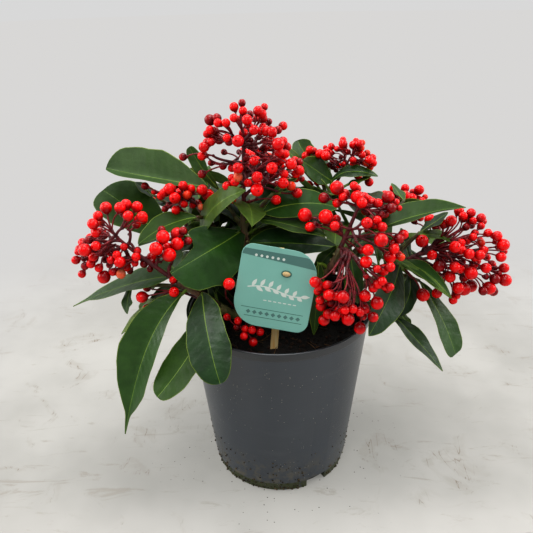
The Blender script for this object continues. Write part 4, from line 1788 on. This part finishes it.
def makeLabel():
    matrix = labelPlace()
    finishes = {"ground": cardFinish("cardGround", (112, 164, 152), (128, 180, 167)),
                "band": cardFinish("cardBand", (70, 108, 102), (82, 122, 114)),
                "pale": cardFinish("cardPale", (190, 200, 192), (206, 214, 206)),
                "line": cardFinish("cardLine", (64, 108, 100), (72, 116, 106)),
                "peg": cardFinish("cardPeg", (168, 140, 92), (206, 182, 136), 0.6)}
    half = label["thick"] / 2
    card = Gather("label_plate", finishes)
    rings = []
    for depth, inset in ((half, 0.18), (half * 0.6, 0.0), (-half * 0.6, 0.0), (-half, 0.18)):
        rings.append([(x, depth, z) for x, z in cardOutline(inset)])
    card.loft(rings, "ground")
    art = Gather("label_print", finishes)
    front, raised = -half + 0.01, -half - label["print"]

    def shape(points, kind, lift=0.0):
        slab(art, points, raised - lift, front, kind)

    # a dark band near the top, with a row of pale dots
    ink = labelPrint
    band = [(x, min(z, ink["bandHigh"])) for x, z in cardOutline(0.4) if z > ink["bandLow"]]
    shape(band, "band")
    dotX, dotZ = ink["dotFrom"]
    for step in range(ink["dots"]):
        shape(disc(dotX + step * ink["dotStep"], dotZ, ink["dotRadius"]), "pale", 0.03)
    # a pale sprig across the middle
    stemX, stemZ = ink["stemFrom"]
    stem = [(stemX + ink["stemStep"] * i, stemZ + ink["stemSway"] * math.sin(i * 0.42))
            for i in range(ink["stemPoints"])]
    shape(strip(stem, ink["stemWidth"]), "pale")
    for i, (x, z) in enumerate(stem[1:-1], 1):
        side = 1 if i % 2 else -1
        long = ink["petalLength"] - 0.12 * i
        shape(petalOutline(x, z + side * 0.2, 18 + side * 46, long, ink["petalWidth"]), "pale", 0.01)
    endX, endZ = stem[-1]
    shape(petalOutline(endX - 0.6, endZ, 8, ink["endPetal"], ink["petalWidth"]), "pale", 0.01)
    # short dashes below it, and two fine lines with diamonds between them near the foot
    for step in range(ink["dashes"]):
        ends = [(x + step * ink["dashStep"], ink["dashHeight"]) for x in ink["dash"]]
        shape(strip(ends, ink["dashWidth"]), "pale")
    for z in ink["lines"]:
        shape(strip([(-19 + abs(z - ink["lines"][0]) * 0.5, z), (0, z), (20, z)], ink["lineWidth"]), "line")
    for step in range(ink["diamonds"]):
        x = ink["diamondFrom"] + step * ink["diamondStep"]
        shape([(x - 1.5, -16.9), (x, -18.3), (x + 1.5, -16.9), (x, -15.5)], "band")
    # the slot, and the peg that comes through it
    slotX, slotZ = label["slot"]
    wideSlot, highSlot = label["slotSize"]
    widePeg, highPeg = label["pegSize"]
    shape([(slotX + wideSlot * x, slotZ + highSlot * z) for x, z in disc(0, 0, 1.0)], "line", 0.02)
    peg = []
    for rise, wide in ((0.0, 1.0), (0.9, 0.95), (1.5, 0.7), (1.8, 0.25)):
        peg.append([(slotX + widePeg * wide * x, -half - rise, slotZ + highPeg * wide * z)
                    for x, z in disc(0, 0, 1.0)])
    art.loft(peg, "peg")
    for item in (card, art):
        made = item.make(smooth=False)
        made.data.transform(Matrix.Scale(1 / metre, 4))
        made.data.transform(matrix)
        made.data.transform(Matrix.Scale(metre, 4))
        place(made, "card", *(["label_card"] if item is card else []))


def makeStick():
    gather = Gather("stick_slat", {"wood": stickFinish()})
    foot, top = vector(stick["foot"]), vector(stick["top"])
    wide, thick = stick["width"] / 2, stick["thick"] / 2
    ahead = unit(top - foot)
    side = unit(vector((1, 0, 0)) - ahead * ahead[0])
    normal = np.cross(ahead, side)
    rings = []
    corners = [(1, -0.55), (1, 0.55), (0.86, 1), (-0.86, 1), (-1, 0.55), (-1, -0.55), (-0.86, -1), (0.86, -1)]
    for share in np.linspace(0, 1, 40):
        taper = min(1, 0.35 + share * 9) * (1 - 0.35 * max(0, (share - 0.985) / 0.015))
        centre = foot + (top - foot) * share
        waver = 1 + 0.02 * noise.noise(Vector((share * 9, 0, 0)))
        rings.append([centre + side * a * wide * taper * waver + normal * b * thick for a, b in corners])
    gather.loft(rings, "wood")
    place(gather.make(smooth=False), "stick", "label_stick")


makeLabel()
makeStick()
print("label made")


# Floor, lights and view

lamps = {
    # place in metres, size in metres, power in watts
    "lampTop": dict(place=(0.05, 0.15, 1.6), size=1.1, power=13),
    "lampLeft": dict(place=(-1.5, 0.1, 0.8), size=1.0, power=10),
    "lampRight": dict(place=(1.5, 0.1, 0.8), size=1.0, power=8),
    "lampFront": dict(place=(-0.25, -1.0, 1.3), size=0.7, power=4),
}


def makeStage():
    mesh = bmesh.new()
    bmesh.ops.create_circle(mesh, cap_ends=True, segments=96, radius=studio["floorRadius"])
    data = bpy.data.meshes.new("floor")
    mesh.to_mesh(data)
    mesh.free()
    data.materials.append(floorFinish())
    floor = addItem("floor", data)
    # a little below the pot's foot, so that the two don't lie in one plane
    floor.location.z = -0.0002


def makeLights():
    for name, spec in lamps.items():
        data = bpy.data.lights.new(name, "AREA")
        data.shape = "DISK"
        data.size = spec["size"]
        data.energy = spec["power"]
        lamp = addItem(name, data)
        lamp.location = spec["place"]
        aim = Vector((0, 0, 0.12)) - lamp.location
        lamp.rotation_euler = aim.to_track_quat("-Z", "Y").to_euler()
    world = bpy.data.worlds.new("studio")
    world.use_nodes = True
    back = world.node_tree.nodes["Background"]
    back.inputs["Color"].default_value = (1, 1, 1, 1)
    # soft light all round but for the side where the camera stands; the background itself is plain
    nodes = Nodes(world.node_tree, "Generated")
    behind = nodes.axis("Y").over(-0.35, 0.8) * studio["fromBehind"]
    above = nodes.axis("Z").over(0.1, 0.8) * studio["fromAbove"]
    sides = abs(nodes.axis("X")).over(0.4, 0.5) * studio["fromSides"]
    strength = behind + above + sides + studio["ambient"]
    direct = nodes.add("ShaderNodeLightPath", {}, {}, "Is Camera Ray")
    plain = tone(*studio["wall"])[0]
    strength = strength * (1 - direct) + direct * plain
    world.node_tree.links.new(strength.socket, back.inputs["Strength"])
    bpy.context.scene.world = world
    view = bpy.context.scene.view_settings
    view.view_transform = "Standard"
    view.look = studio["look"]
    view.exposure = studio["exposure"]


makeStage()
makeLights()
print("stage made")
